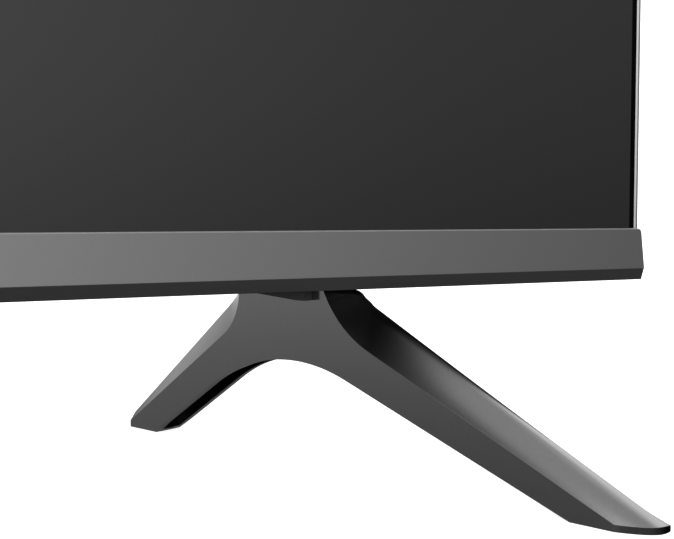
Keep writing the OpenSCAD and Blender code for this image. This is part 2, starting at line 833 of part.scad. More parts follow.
module upper_cover_screws() {
    color("#3a3a3a") for (p = upper_screws) cover_screw(p);
}

module lower_cover_screws() {
    color("#3a3a3a") for (p = lower_screws) cover_screw(p);
}

module wall_mount_inserts() {
    color("#b8bcc0") head() for (x = wall_x, z = wall_z) difference() {
        rod_y(x, [y_back, insert_back], z, insert_r);
        rod_y(x, [insert_back - wall_hole_depth, insert_back + cut], z, wall_hole_r);
    }
}

// Boards

// Circuit board whose lower inner corner lies at x
module board(x) {
    difference() {
        box([x, x + board_w], [y_board, y_parts], [z_boards, z_boards + board_h]);
        for (p = board_holes)
            rod_y(x + p.x, [y_board - cut, y_parts + cut], z_boards + p.y, screw_r + hole_fit);
    }
}

main_x = board_edge - board_w;
power_x = -board_edge;

// Place on a board whose inner edge is at x, given as shares of the board's width and height
function on_board(x, share) = [x + share.x * board_w, z_boards + share.y * board_h];

// Block standing on a board with its corner at the place at, sizes in x, z and height
module part_on_board(at, size) {
    box([at.x, at.x + size.x], [y_parts, y_parts + size.z], [at.y, at.y + size.y]);
}

// Processor, in the middle of its heat sink
processor = [28, 28, 2];
processor_at = on_board(main_x, [0.22, 0.44]);

module main_board() {
    color("#1f5a3a") head() board(main_x);
}

module main_board_chips() {
    memory = [12, 9, 1.2];
    memory_share = [[0.25, 0.64], [0.35, 0.64]];
    coil = [8, 8, 4];
    coil_share = [[0.11, 0.15], [0.21, 0.15], [0.31, 0.15], [0.41, 0.15]];
    flash = [9, 9, 1.2];
    flash_share = [0.5, 0.3];
    color("#1b1b1d") head() {
        part_on_board(processor_at, processor);
        for (share = memory_share) part_on_board(on_board(main_x, share), memory);
        for (share = coil_share) part_on_board(on_board(main_x, share), coil);
        part_on_board(on_board(main_x, flash_share), flash);
    }
}

module main_heatsink() {
    rim = 4;
    base_t = 2;
    fin_t = 1.2;
    fin_h = 10;
    fin_pitch = 4.35;
    x = processor_at.x - rim;
    z = processor_at.y - rim;
    w = processor.x + 2 * rim;
    foot = y_parts + processor.z;
    color("#c9ccce") head() {
        box([x, x + w], [foot, foot + base_t], [z, z + w]);
        for (fin = [x:fin_pitch:x + w - fin_t])
            box([fin, fin + fin_t], [foot + base_t, foot + base_t + fin_h], [z, z + w]);
    }
}

module power_board() {
    color("#b08a4a") head() board(power_x);
}

// Core with a winding at each end
module power_transformer() {
    core = [34, 30, 26];
    core_at = on_board(power_x, [0.5, 0.44]);
    winding = [24, 6, 24];
    inset = (core.x - winding.x) / 2;
    color("#3b3226") head() {
        part_on_board(core_at, core);
        for (dz = [-winding.y, core.y]) part_on_board(core_at + [inset, dz], winding);
    }
}

module power_capacitors() {
    main_r = 12;
    main_h = 35;
    main_at = on_board(power_x, [0.31, 0.34]);
    small_r = 5;
    small_h = 20;
    small_share = [[0.79, 0.34], [0.79, 0.43], [0.79, 0.52], [0.79, 0.61]];
    color("#20242c") head() {
        rod_y(main_at.x, [y_parts, y_parts + main_h], main_at.y, main_r);
        for (share = small_share) {
            at = on_board(power_x, share);
            rod_y(at.x, [y_parts, y_parts + small_h], at.y, small_r);
        }
    }
}

module power_heatsink() {
    sheet = [60, 2.5, 28];
    sheet_share = [[0.34, 0.2], [0.34, 0.78]];
    color("#bfc3c6") head() for (share = sheet_share) part_on_board(on_board(power_x, share), sheet);
}

// Screws of the boards: reach into the standoffs, spare thread under them, head
board_screw_reach = 5;
board_screw_spare = 1;
board_screw_head = [2.8, 2];

module board_standoffs() {
    thread = board_screw_reach + board_screw_spare;
    color("#c8c8c0") head() for (x = [main_x, power_x], p = board_holes) difference() {
        rod_y(x + p.x, [y_back, y_board], z_boards + p.y, standoff_r);
        rod_y(x + p.x, [y_board - thread, y_board + cut], z_boards + p.y, thread_r);
    }
}

module board_screws() {
    color("#d0d0d0") head() for (x = [main_x, power_x], p = board_holes) {
        rod_y(x + p.x, [y_parts, y_parts + board_screw_head.y], z_boards + p.y, board_screw_head.x);
        rod_y(x + p.x, [y_board - board_screw_reach, y_parts], z_boards + p.y, screw_r);
    }
}

// Sockets, open towards +X

// Body of a socket, its front at x
module socket_block(i, x) {
    box([x - ports[i][3], x], [y_parts, y_parts + ports[i][2]],
        [port_z(i) - ports[i][1] / 2, port_z(i) + ports[i][1] / 2]);
}

// Bar of size across z, y and x that ends at x, its middle off the socket's middle by shift
module socket_bar(i, x, size, shift) {
    y = y_parts + ports[i][2] / 2 + shift;
    z = port_z(i);
    box([x - size.z, x], [y - size.y / 2, y + size.y / 2], [z - size.x / 2, z + size.x / 2]);
}

// Sockets of one kind, with a mouth and a tongue that lies tongue_sunk behind the front
module slotted_sockets(kind, mouth, tongue, shift) {
    tongue_sunk = 1.5;
    head() for (i = [0:len(ports) - 1]) if (ports[i][0] == kind) {
        difference() {
            socket_block(i, port_face);
            socket_bar(i, port_face + cut, mouth + [0, 0, cut], 0);
        }
        socket_bar(i, port_face - tongue_sunk, concat(tongue, [mouth.z - tongue_sunk]), shift);
    }
}

// Coaxial socket: a sleeve that stands out of the wall round a pin
module antenna_socket() {
    y = y_parts + ports[0][2] / 2;
    z = port_z(0);
    sleeve_end = bulge_half + 7;
    sleeve_t = 1;
    bottom = bulge_half - 3;
    pin_r = 1.2;
    pin_sunk = 2;
    color("#b9bbbd") head() {
        difference() {
            union() {
                socket_block(0, port_wall);
                rod_x([port_wall - cut, sleeve_end], y, z, antenna_r);
            }
            rod_x([bottom, sleeve_end + cut], y, z, antenna_r - sleeve_t);
        }
        rod_x([bottom - cut, sleeve_end - pin_sunk], y, z, pin_r);
    }
}

module lan_socket() {
    mouth = [11.8, 8.4, 13];
    color("#aeb2b5") head() difference() {
        socket_block(1, port_face);
        socket_bar(1, port_face + cut, mouth + [0, 0, cut], 0);
    }
}

module optical_socket() {
    color("#202124") slotted_sockets("optical", [6.4, 6.4, 8], [2, 2], 0);
}

module hdmi_sockets() {
    wall = 0.5;
    color("#9fa3a6") slotted_sockets("hdmi", [hdmi_w - 2 * wall, 4.6, 9], [10.4, 0.9], 0.3);
}

module usb_sockets() {
    wall = 0.7;
    color("#9fa3a6") slotted_sockets("usb", [usb_w - 2 * wall, 5.2, 11], [11, 1.9], 1.2);
}

module headphone_socket() {
    i = len(ports) - 1;
    y = y_parts + ports[i][2] / 2;
    z = port_z(i);
    nose = bulge_half + 0.5;
    bottom_t = 2;
    color("#17181a") head() difference() {
        union() {
            socket_block(i, port_wall);
            rod_x([port_wall - cut, nose], y, z, phone_nose_r);
        }
        rod_x([port_wall - ports[i][3] + bottom_t, nose + cut], y, z, phone_r);
    }
}

// Mains inlet: two round recesses joined by a slot, with a pin in each
module power_inlet() {
    y = y_parts + inlet_h / 2;
    bottom = port_face - 13;
    recess_r = 4;
    slot_half = 3;
    pin_r = 1.15;
    pin_z = 4.3;
    pin_sunk = 2;
    color("#141416") head() mirror([1, 0, 0]) {
        difference() {
            box([port_face - inlet_d, port_face], [y_parts, y_parts + inlet_h],
                [inlet_z - inlet_w / 2, inlet_z + inlet_w / 2]);
            for (side = [-1, 1]) rod_x([bottom, port_face + cut], y, inlet_z + side * pin_z, recess_r);
            box([bottom, port_face + cut], [y - slot_half, y + slot_half],
                [inlet_z - pin_z, inlet_z + pin_z]);
        }
        for (side = [-1, 1]) rod_x([bottom - cut, port_face - pin_sunk], y, inlet_z + side * pin_z, pin_r);
    }
}

// Sound

module speaker_box() {
    x = [speaker_x, speaker_x + speaker_w];
    head() difference() {
        box(x, [speaker_y0, speaker_y1], [z_in, z_in + speaker_h]);
        box([x[0] + speaker_t, x[1] - speaker_t], [speaker_y0 + speaker_t, speaker_y1 - speaker_t],
            [z_in + speaker_t, z_in + speaker_h - speaker_t]);
        rod_z(speaker_mid.x, speaker_mid.y, [z_in - cut, z_in + speaker_t + cut], driver_r);
    }
}

// Driver that fires down through the slots of the cover: rim, basket, magnet and cone
module speaker_driver() {
    rim_z = [0.5, 3];
    rim_r = driver_r * 0.9;
    magnet_r = driver_r * 0.6;
    magnet_z = [12, 18];
    cone_r = driver_r * 0.35;
    cone_z = 8;
    profile = [[rim_r, rim_z[0]], [driver_r - fit, rim_z[0]], [driver_r - fit, rim_z[1]],
        [magnet_r, magnet_z[0]], [magnet_r, magnet_z[1]], [0, magnet_z[1]], [0, cone_z], [cone_r, cone_z]];
    head() translate([speaker_mid.x, speaker_mid.y, z_in]) rotate_extrude() polygon(profile);
}

module speaker_box_left() {
    color("#2a2b2d") mirror([1, 0, 0]) speaker_box();
}

module speaker_box_right() {
    color("#2a2b2d") speaker_box();
}

module speaker_driver_left() {
    color("#111214") mirror([1, 0, 0]) speaker_driver();
}

module speaker_driver_right() {
    color("#111214") speaker_driver();
}

// Panel electronics behind the chin

module source_boards() {
    color("#1f5a3a") head() both_sides() box([source_x0, source_x0 + source_l], [y_ledge - source_t, y_ledge],
        [source_z - source_h, source_z]);
}

module panel_flex_tabs() {
    pitch = (source_l - flex_w) / (flex_count / 2 - 1);
    y = y_ledge - source_t;
    color("#a5793a") head() both_sides() for (i = [0:flex_count / 2 - 1])
        box([source_x0 + i * pitch, source_x0 + i * pitch + flex_w], [y - ribbon_t, y],
            [source_z - source_h / 2, z_cell0]);
}

module panel_ribbon() {
    x = [ribbon_x, ribbon_x + ribbon_w];
    color("#e9e9e4") head() {
        box(x, [ribbon_y, ribbon_y + ribbon_t], [ribbon_z, z_boards]);
        box(x, [y_ledge, ribbon_y + ribbon_t], [ribbon_z, ribbon_z + ribbon_t]);
    }
}

// Small board on the floor of the lower cover, with a screening can on it
module wireless_module() {
    board = [32, 20, 1.2];
    can = [18, 14, 1.8];
    inset = (board - can) / 2;
    color("#27303a") head() translate([-bulge_half / 2, (y_cover + bulge_d - board.y) / 2, z_in]) {
        cube(board);
        translate([inset.x, inset.y, board.z]) cube(can);
    }
}

// Stand

// Four corners at each step along the leg, joined from heel to toe
module leg_loft() {
    n = len(lower_edge);
    points = [for (i = [0:n - 1]) each [
        [inner_edge[i].x, 0, inner_edge[i].y],
        [outer_edge[i].x, leg_t, outer_edge[i].y],
        [lower_edge[i].x, leg_t, lower_edge[i].y],
        [lower_edge[i].x, 0, lower_edge[i].y]]];
    last = 4 * (n - 1);
    heel_cap = [[3, 2, 1], [3, 1, 0]];
    toe_cap = [[last, last + 1, last + 2], [last, last + 2, last + 3]];
    sides = [for (i = [0:n - 2], k = [0:3]) let (a = 4 * i + k, b = 4 * i + (k + 1) % 4)
        each [[a, b, b + 4], [a, b + 4, a + 4]]];
    polyhedron(points, concat(heel_cap, toe_cap, sides));
}

// Channel under the arch that leaves the walls and the web under the neck
module leg_hollow() {
    end = 2;
    across_leg([leg_wall, leg_t - leg_wall]) intersection() {
        for (drop = [0, 2 * leg_wall]) translate([0, -drop]) offset(delta = -leg_wall) polygon(leg_side);
        translate([end - arch_heel, -cut]) square([arch_heel - toe_flat - 2 * end, z0 - web_t + cut]);
    }
}

// What lies outside the leg's outline seen from above
module leg_ends() {
    length = front_over + rear_over + 2 * cut;
    translate([0, 0, -cut]) linear_extrude(z0 + 2 * cut) difference() {
        translate([-rear_over - cut, -cut / 2]) square([length, leg_t + cut]);
        polygon(leg_plan);
    }
}

module leg() {
    right_leg() difference() {
        leg_loft();
        leg_ends();
        leg_hollow();
        for (p = leg_screw_places) rod_z(p.x, p.y, [z0 - web_t - cut, z0 + cut], leg_screw_r + hole_fit);
        for (p = pads) box(p, [pad_margin, leg_t - pad_margin], [-cut, pad_t]);
    }
}

module leg_left() {
    color("#5c5e60") mirror([1, 0, 0]) leg();
}

module leg_right() {
    color("#5c5e60") leg();
}

module leg_pads() {
    color("#111111") both_sides() right_leg() for (p = pads)
        box([p[0] + fit, p[1] - fit], [pad_margin + fit, leg_t - pad_margin - fit], [0, pad_t]);
}

module leg_screws() {
    bearing = z0 - web_t;
    end_gap = 1.5;
    color("#8d9093") both_sides() right_leg() for (p = leg_screw_places) {
        rod_z(p.x, p.y, [bearing - leg_head_h, bearing], leg_head_r);
        rod_z(p.x, p.y, [bearing, bracket_top - end_gap], leg_screw_r);
    }
}

// Foot with the threads of the leg screws, and a plate that is screwed to the chassis
module leg_bracket() {
    y_rear = max(bracket_y) + bracket_rear;
    y_seat = head_y + y_back;
    x = [bracket_x0, bracket_x1];
    difference() {
        union() {
            box(x, [head_y + y_sheets + bracket_front, y_rear], [z_in, bracket_top]);
            box(x, [y_seat, y_seat + bracket_t], [z_in, z0 + band_h - bracket_plate_gap]);
        }
        right_leg() for (p = leg_screw_places)
            rod_z(p.x, p.y, [z_in - cut, bracket_top + cut], leg_screw_r + thread_fit);
        for (sx = bracket_screw_x)
            rod_y(sx, [y_seat - cut, y_seat + bracket_t + cut], bracket_screw_z, screw_r + hole_fit);
    }
}

module leg_bracket_left() {
    color("#9ea2a5") mirror([1, 0, 0]) leg_bracket();
}

module leg_bracket_right() {
    color("#9ea2a5") leg_bracket();
}

module bracket_screws() {
    y = y_back + bracket_t;
    color("#d0d0d0") head() both_sides() for (x = bracket_screw_x) {
        rod_y(x, [y, y + screw_head_h], bracket_screw_z, screw_head_r);
        rod_y(x, [y_floor + fit, y], bracket_screw_z, screw_r);
    }
}

// Lug on the underside that the leg's inner face lies against
module leg_locators() {
    lug_t = 3.6;
    lug_l = 22.2;
    front_h = 3.8;
    rear_h = 2.4;
    flat_l = 4;
    front = neck_a - 4.8;
    rear = front - lug_l;
    color("#141517") both_sides() right_leg() across_leg([-fit - lug_t, -fit]) polygon([[rear, z0],
        [rear, z0 - rear_h], [front - flat_l, z0 - front_h], [front, z0 - front_h], [front, z0]]);
}

// Key pod under the chin

module key_pod() {
    half = pod_w / 2;
    inner = half - pod_t;
    ledge = 2;
    inside_y = [pod_y + pod_t, pod_y + pod_d - pod_t];
    color("#161719") head() difference() {
        union() {
            difference() {
                box([-half, half], [pod_y, pod_y + pod_d], [pod_z, z0]);
                box([-inner, inner], inside_y, [key_flange_z, z0 + cut]);
            }
            both_sides() box([inner - ledge, inner], inside_y, [key_flange_z, key_board_z]);
        }
        rod_z(0, pod_mid, [pod_z - cut, key_flange_z + cut], key_r + hole_fit);
        box([-window_half - fit, window_half + fit], [pod_y - cut, pod_y + pod_t + cut],
            [pod_z + window_low - fit, z0 - window_high + fit]);
    }
}

module ir_window() {
    color("#2a0d10") head() box([-window_half, window_half], [pod_y, pod_y + pod_t],
        [pod_z + window_low, z0 - window_high]);
}

// Receiver on the key board, behind one end of the window
module ir_receiver() {
    size = [4, 2.5, 2.5];
    gap = 0.5;
    color("#0d0d0f") head()
        translate([window_half - size.x, pod_y + pod_t + gap, key_board_z - size.z]) cube(size);
}

module key_board() {
    inner = pod_w / 2 - pod_t - fit;
    color("#1f5a3a") head() box([-inner, inner], [pod_y + pod_t + fit, pod_y + pod_d - pod_t - fit],
        [key_board_z, key_board_z + key_board_t]);
}

module tact_switch() {
    color("#c7c9cb") head() difference() {
        box([-switch_half, switch_half], [pod_mid - switch_half, pod_mid + switch_half],
            [key_board_z - switch_h, key_board_z]);
        rod_z(0, pod_mid, [key_board_z - switch_h - cut, key_board_z - fit], plunger_r + hole_fit);
    }
}

// Plunger of the switch, standing on the key
module switch_plunger() {
    top = key_board_z - fit - hole_fit - key_travel;
    color("#101010") head() rod_z(0, pod_mid, [key_flange_z + key_flange_h, top], plunger_r);
}

module power_key() {
    color("#3a3b3e") head() {
        rod_z(0, pod_mid, [pod_z - key_proud, key_flange_z], key_r);
        rod_z(0, pod_mid, [key_flange_z, key_flange_z + key_flange_h], key_r + key_flange);
    }
}

lcd_panel();
panel_tape();
mid_frame();
prism_sheet();
diffuser_sheet();
diffuser_plate();
diffuser_posts();
reflector_sheet();
led_bars();
led_lenses();
back_chassis();
bezel_left();
bezel_right();
bezel_top();
chin_cover();
chin_lower_trim();
upper_rear_cover();
lower_rear_cover();
upper_cover_screws();
lower_cover_screws();
wall_mount_inserts();
main_board();
main_board_chips();
main_heatsink();
power_board();
power_transformer();
power_capacitors();
power_heatsink();
board_standoffs();
board_screws();
antenna_socket();
lan_socket();
optical_socket();
hdmi_sockets();
usb_sockets();
headphone_socket();
power_inlet();
speaker_box_left();
speaker_box_right();
speaker_driver_left();
speaker_driver_right();
source_boards();
panel_flex_tabs();
panel_ribbon();
wireless_module();
leg_left();
leg_right();
leg_pads();
leg_screws();
leg_bracket_left();
leg_bracket_right();
bracket_screws();
leg_locators();
key_pod();
ir_window();
ir_receiver();
key_board();
tact_switch();
switch_plunger();
power_key();
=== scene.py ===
"""Looks of the flat screen television: finishes for all parts, finer legs, screws and key, and a studio."""

import json
import math

import bpy
import numpy as np
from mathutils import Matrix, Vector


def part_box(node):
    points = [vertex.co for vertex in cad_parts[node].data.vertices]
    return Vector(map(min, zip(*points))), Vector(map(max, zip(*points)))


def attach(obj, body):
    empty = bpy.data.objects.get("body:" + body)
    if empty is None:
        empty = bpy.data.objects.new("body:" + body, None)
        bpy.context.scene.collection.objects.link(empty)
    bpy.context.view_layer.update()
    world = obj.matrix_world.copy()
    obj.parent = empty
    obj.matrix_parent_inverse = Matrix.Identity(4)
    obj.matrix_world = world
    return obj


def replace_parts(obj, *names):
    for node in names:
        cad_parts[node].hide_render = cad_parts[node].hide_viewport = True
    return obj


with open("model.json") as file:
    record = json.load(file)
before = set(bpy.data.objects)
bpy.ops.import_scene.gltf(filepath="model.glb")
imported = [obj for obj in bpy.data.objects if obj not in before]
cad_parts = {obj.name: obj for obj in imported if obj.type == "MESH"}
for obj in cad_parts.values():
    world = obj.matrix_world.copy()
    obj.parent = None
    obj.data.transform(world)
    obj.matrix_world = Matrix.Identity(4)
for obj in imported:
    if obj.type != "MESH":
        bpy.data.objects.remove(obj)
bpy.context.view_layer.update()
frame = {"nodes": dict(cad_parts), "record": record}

MM = 0.001


# Nodes and materials

def linear(colour):
    """sRGB hex colour as linear red, green, blue and an alpha of 1."""
    srgb = np.array([int(colour[i:i + 2], 16) for i in (1, 3, 5)]) / 255
    return (*np.where(srgb <= 0.04045, srgb / 12.92, ((srgb + 0.055) / 1.055) ** 2.4).tolist(), 1.0)


def add(tree, kind, inputs=None, **settings):
    """Adds one node. Settings are its properties; inputs gives a socket a value or another node's output."""
    made = tree.nodes.new(kind)
    for key, value in settings.items():
        setattr(made, key, value)
    for key, value in (inputs or {}).items():
        if isinstance(value, bpy.types.NodeSocket):
            tree.links.new(value, made.inputs[key])
        else:
            made.inputs[key].default_value = value
    return made


def calc(tree, kind, first, second=0.0):
    """Result of a math operation on one or two values."""
    return add(tree, "ShaderNodeMath", {0: first, 1: second}, operation=kind).outputs[0]


def ramp(tree, value, low, high, level=1.0):
    """Smooth step over a value: 0 at low, and the level at high."""
    return add(tree, "ShaderNodeMapRange",
               {"Value": value, "From Min": low, "From Max": high, "To Max": level},
               interpolation_type="SMOOTHSTEP").outputs[0]


def blend(tree, part, first, second):
    """Colour mixed from two, of which the second has the given part."""
    return add(tree, "ShaderNodeMix", {0: part, 6: first, 7: second}, data_type="RGBA").outputs[2]


class Finish:
    """A material with one shader whose tone, gloss and relief follow a noise field.

    Tones are the two ends of its colour and gloss the two ends of its roughness. Grain and relief are the
    width and the height of the unevenness in millimetres, and stretch lengthens the grain along an axis.
    """

    def __init__(self, name, tones, gloss, grain, relief=0.0, stretch=(1, 1, 1), **sockets):
        self.material = bpy.data.materials.new(name)
        self.material.use_nodes = True
        self.tree = self.material.node_tree
        self.tree.nodes.clear()
        self.place = add(self.tree, "ShaderNodeTexCoord").outputs["Object"]
        squeeze = tuple(1 / s for s in stretch)
        spread = add(self.tree, "ShaderNodeMapping", {"Vector": self.place, "Scale": squeeze}).outputs[0]
        self.field = add(self.tree, "ShaderNodeTexNoise", {
            "Vector": spread, "Scale": 1 / (grain * MM), "Detail": 3.0}).outputs[0]
        self.tone = blend(self.tree, self.field, linear(tones[0]), linear(tones[1]))
        rough = add(self.tree, "ShaderNodeMapRange", {
            "Value": self.field, "To Min": gloss[0], "To Max": gloss[1]}).outputs[0]
        named = {key.replace("_", " "): value for key, value in sockets.items()}
        self.shader = add(self.tree, "ShaderNodeBsdfPrincipled", {
            "Base Color": self.tone, "Roughness": rough, **named})
        add(self.tree, "ShaderNodeOutputMaterial", {"Surface": self.shader.outputs[0]})
        if relief:
            self.raise_by(self.field, relief)

    def raise_by(self, height, depth):
        """Bumps the surface by a field, depth millimetres from its lowest to its highest value."""
        bump = add(self.tree, "ShaderNodeBump", {"Height": height, "Distance": depth * MM})
        self.tree.links.new(bump.outputs[0], self.shader.inputs["Normal"])

    def tint(self, mask, colour):
        """Lays a second colour over the first where the mask is 1."""
        self.tone = blend(self.tree, mask, self.tone, linear(colour))
        self.tree.links.new(self.tone, self.shader.inputs["Base Color"])

    def waves(self, axis, pitch, low=0.4, high=0.6):
        """Bands across an axis, one each pitch millimetres: 0 between them and 1 on them, with soft edges."""
        turns = 2 * math.pi / (20 * pitch * MM)
        wave = add(self.tree, "ShaderNodeTexWave", {"Vector": self.place, "Scale": turns},
                   wave_type="BANDS", bands_direction=axis).outputs["Fac"]
        return add(self.tree, "ShaderNodeMapRange", {
            "Value": wave, "From Min": low, "From Max": high}).outputs[0]

    def cells(self, width):
        """Voronoi cells of a width in millimetres: distance to the cell's middle, and a colour per cell."""
        scale = 1 / (width * MM)
        return add(self.tree, "ShaderNodeTexVoronoi", {"Vector": self.place, "Scale": scale}).outputs

    def outside(self, low, high):
        """1 outside the upright rectangle between two corners (x, z) in millimetres, and 0 inside."""
        parts = add(self.tree, "ShaderNodeSeparateXYZ", {0: self.place}).outputs
        mask = 0.0
        for k, axis in enumerate((0, 2)):
            middle, half = (low[k] + high[k]) / 2 * MM, (high[k] - low[k]) / 2 * MM
            far = calc(self.tree, "ABSOLUTE", calc(self.tree, "SUBTRACT", parts[axis], middle))
            past = calc(self.tree, "GREATER_THAN", far, half)
            mask = calc(self.tree, "MAXIMUM", past, mask)
        return mask


def matt_polariser():
    """Black cell behind a polariser with a matt hard coat: a soft grey haze, and a black printed border that
    also carries painted shade: darker than the cell and nearly without reflection, it stands for the shadow in
    the gap beside the bezel.
    """
    finish = Finish("matt_polariser", ("#0c0c0c", "#101010"), (0.34, 0.38), grain=0.6, IOR=1.5)
    low, high = (v * 1000 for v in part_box("lcd_panel"))
    border = 2.2
    skirt = 5.4
    # Painted shade: the printed border is made darker and kept from reflecting, to stand for the shadow in the
    # gap between picture and bezel.
    print_and_gap_shade = finish.outside((low.x + border, low.z + skirt), (high.x - border, high.z - border))
    finish.tint(print_and_gap_shade, "#020202")
    haze = add(finish.tree, "ShaderNodeMapRange", {"Value": print_and_gap_shade, "To Min": 0.5, "To Max": 0.03}).outputs[0]
    finish.tree.links.new(haze, finish.shader.inputs["Specular IOR Level"])
    return finish.material


def anodised_aluminium():
    """Drawn aluminium strip, brushed along its length and anodised grey: a satin metal with fine lines."""
    return Finish("anodised_aluminium", ("#8c8c8c", "#a3a3a3"), (0.32, 0.42), grain=0.25,
                  stretch=(12, 1, 12), Metallic=1.0).material


def metallic_paint():
    """ABS moulding sprayed with dark silver paint: satin, with flakes drawn coarser than the real ones."""
    return Finish("metallic_paint", ("#6d6d6d", "#777777"), (0.36, 0.42), grain=0.3, relief=0.002,
                  Metallic=1.0).material


def satin_paint():
    """ABS moulding with a satin grey paint: an even tone with a faint spray texture about 0.8 mm wide."""
    return Finish("satin_paint", ("#878787", "#8f8f8f"), (0.15, 0.19), grain=0.8, relief=0.001,
                  Metallic=1.0).material


def satin_black_abs():
    """Black ABS from a finely blasted mould: dark, with a low broad sheen."""
    return Finish("satin_black_abs", ("#393939", "#414141"), (0.42, 0.52), grain=0.4, relief=0.004,
                  IOR=1.4).material


def eroded_black_abs():
    """Black ABS from a spark eroded mould: a matt grain of pits, drawn 0.9 mm wide so that it shows."""
    finish = Finish("eroded_black_abs", ("#1d1d1f", "#28282a"), (0.5, 0.66), grain=0.7)
    finish.raise_by(finish.cells(0.9)["Distance"], 0.05)
    return finish.material


def black_moulding(name, gloss):
    """Black PBT or polystyrene from a plain mould: dark, with faint flow marks about 3 mm wide."""
    return Finish(name, ("#0c0c0c", "#121213"), gloss, grain=3, relief=0.01).material


def zinc_plate(name, tones, grain):
    """Zinc plated or galvanised steel: a grey metal whose crystals differ in tone by small steps."""
    finish = Finish(name, tones, (0.3, 0.45), grain=grain, Metallic=1.0)
    finish.tint(finish.cells(grain)["Color"], tones[1])
    return finish.material


def solder_resist():
    """Glass laminate under green resist: copper tracks 1.2 mm apart stand up through it."""
    finish = Finish("solder_resist", ("#1b4a33", "#20553b"), (0.3, 0.4), grain=4)
    tracks = finish.waves("DIAGONAL", 1.2)
    finish.tint(tracks, "#2b6a4a")
    finish.raise_by(tracks, 0.03)
    return finish.material


def bare_laminate():
    """Paper laminate without resist: tan, with fibres about 6 mm long."""
    return Finish("bare_laminate", ("#a07a42", "#bb9355"), (0.5, 0.6), grain=0.8, relief=0.01,
                  stretch=(8, 1, 1)).material


def prism_film():
    """Clear film with moulded prisms, drawn 0.8 mm apart, coarser than the real ones, so that they show."""
    finish = Finish("prism_film", ("#dfe3e6", "#e8ebed"), (0.2, 0.28), grain=2)
    finish.raise_by(finish.waves("Z", 0.8, 0.0, 1.0), 0.1)
    return finish.material


def white_moulding(name, tones, gloss, grain):
    """White polycarbonate or foamed polyester film: matt, with a fine cloud in the tone."""
    return Finish(name, tones, gloss, grain=grain, relief=0.01).material


def flat_cable():
    """Polyester ribbon over flat wires 1 mm apart: white ridges along the cable."""
    finish = Finish("flat_cable", ("#d6d6d2", "#e2e2de"), (0.35, 0.45), grain=3)
    finish.raise_by(finish.waves("X", 1.0, 0.0, 1.0), 0.2)
    return finish.material


def polyimide():
    """Amber polyimide film with copper lines 0.6 mm apart showing through."""
    finish = Finish("polyimide", ("#a8691c", "#b87726"), (0.25, 0.35), grain=2)
    finish.tint(finish.waves("X", 0.6), "#8a4f14")
    return finish.material


FINISHES = {
    "lcd_glass": matt_polariser(),
    "foam_tape": Finish("closed_foam", ("#0e0e0e", "#1a1a1a"), (0.8, 0.95), grain=0.4, relief=0.1).material,
    "white_plastic": white_moulding("white_polycarbonate", ("#e4e4e0", "#eeeeea"), (0.5, 0.6), 4),
    "optical_film": prism_film(),
    "reflector_film": white_moulding("foamed_polyester", ("#f0f0ee", "#f8f8f7"), (0.65, 0.8), 1),
    "led_lens": Finish("clear_acrylic", ("#e6eaec", "#eef1f2"), (0.05, 0.09), grain=5,
                       Transmission_Weight=0.7, IOR=1.49).material,
    "steel_sheet": zinc_plate("galvanised_sheet", ("#9a9c9e", "#b4b6b8"), 5),
    "bezel_grey": anodised_aluminium(),
    "chin_grey": metallic_paint(),
    "black_trim": satin_black_abs(),
    "cover_black": eroded_black_abs(),
    "screw_steel": zinc_plate("blackened_zinc", ("#56585a", "#7b7d80"), 0.5),
    "board_green": solder_resist(),
    "board_tan": bare_laminate(),
    "chip_black": Finish("epoxy_package", ("#131314", "#1b1b1c"), (0.5, 0.6), grain=0.3,
                         relief=0.01).material,
    "heatsink": Finish("extruded_aluminium", ("#b9bbbd", "#cdcfd1"), (0.25, 0.4), grain=0.4,
                       stretch=(1, 20, 1), Metallic=1.0).material,
    "ferrite": Finish("taped_ferrite", ("#2c261f", "#4a3d28"), (0.4, 0.7), grain=6, relief=0.05).material,
    "capacitor": Finish("shrink_sleeve", ("#171b24", "#212735"), (0.2, 0.3), grain=5, relief=0.02).material,
    "socket_metal": Finish("tinned_steel", ("#a6a7a8", "#c4c5c6"), (0.18, 0.32), grain=1.5,
                           Metallic=1.0).material,
    "socket_black": black_moulding("black_pbt", (0.32, 0.42)),
    "speaker_plastic": black_moulding("speaker_polystyrene", (0.45, 0.55)),
    "speaker_driver": Finish("painted_basket", ("#101010", "#1c1c1d"), (0.4, 0.6), grain=1,
                             relief=0.03).material,
    "flex_amber": polyimide(),
    "ribbon_white": flat_cable(),
    "leg_grey": satin_paint(),
    "rubber_pad": Finish("moulded_rubber", ("#0d0d0d", "#161616"), (0.75, 0.9), grain=0.5,
                         relief=0.03).material,
    "window_dark": Finish("infrared_filter", ("#12070a", "#1a0a0e"), (0.05, 0.08), grain=8,
                          IOR=1.49).material,
    "key_plastic": Finish("polished_abs", ("#2a2a2c", "#303032"), (0.12, 0.18), grain=6, IOR=1.5).material,
}


# Meshes

FOLD = math.radians(40)  # edges of new pieces that turn by more than this stay sharp
TURN = np.linspace(0, 2 * math.pi, 64, endpoint=False)


def model(name, points, faces, material):
    """Links an object with a mesh of points in millimetres and one material."""
    mesh = bpy.data.meshes.new(name)
    mesh.from_pydata((np.reshape(points, (-1, 3)) * MM).tolist(), [], faces)
    mesh.materials.append(material)
    made = bpy.data.objects.new(name, mesh)
    bpy.context.scene.collection.objects.link(made)
    return made


def put(name, points, faces, slot, body):
    """Makes a smooth piece of the set that rides on a body and has a slot's finish."""
    piece = model(name, points, faces, FINISHES[slot])
    piece.data.shade_smooth()
    piece.data.set_sharp_from_angle(angle=FOLD)
    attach(piece, body)
    return piece


def quads(rows, columns, ring=False):
    """Faces of a grid numbered row by row, whose columns close to a ring if asked."""
    i = np.arange(rows - 1)[:, None] * columns
    j = np.arange(columns if ring else columns - 1)[None, :]
    k = (j + 1) % columns
    return np.stack([i + j, i + columns + j, i + columns + k, i + k], -1).reshape(-1, 4)


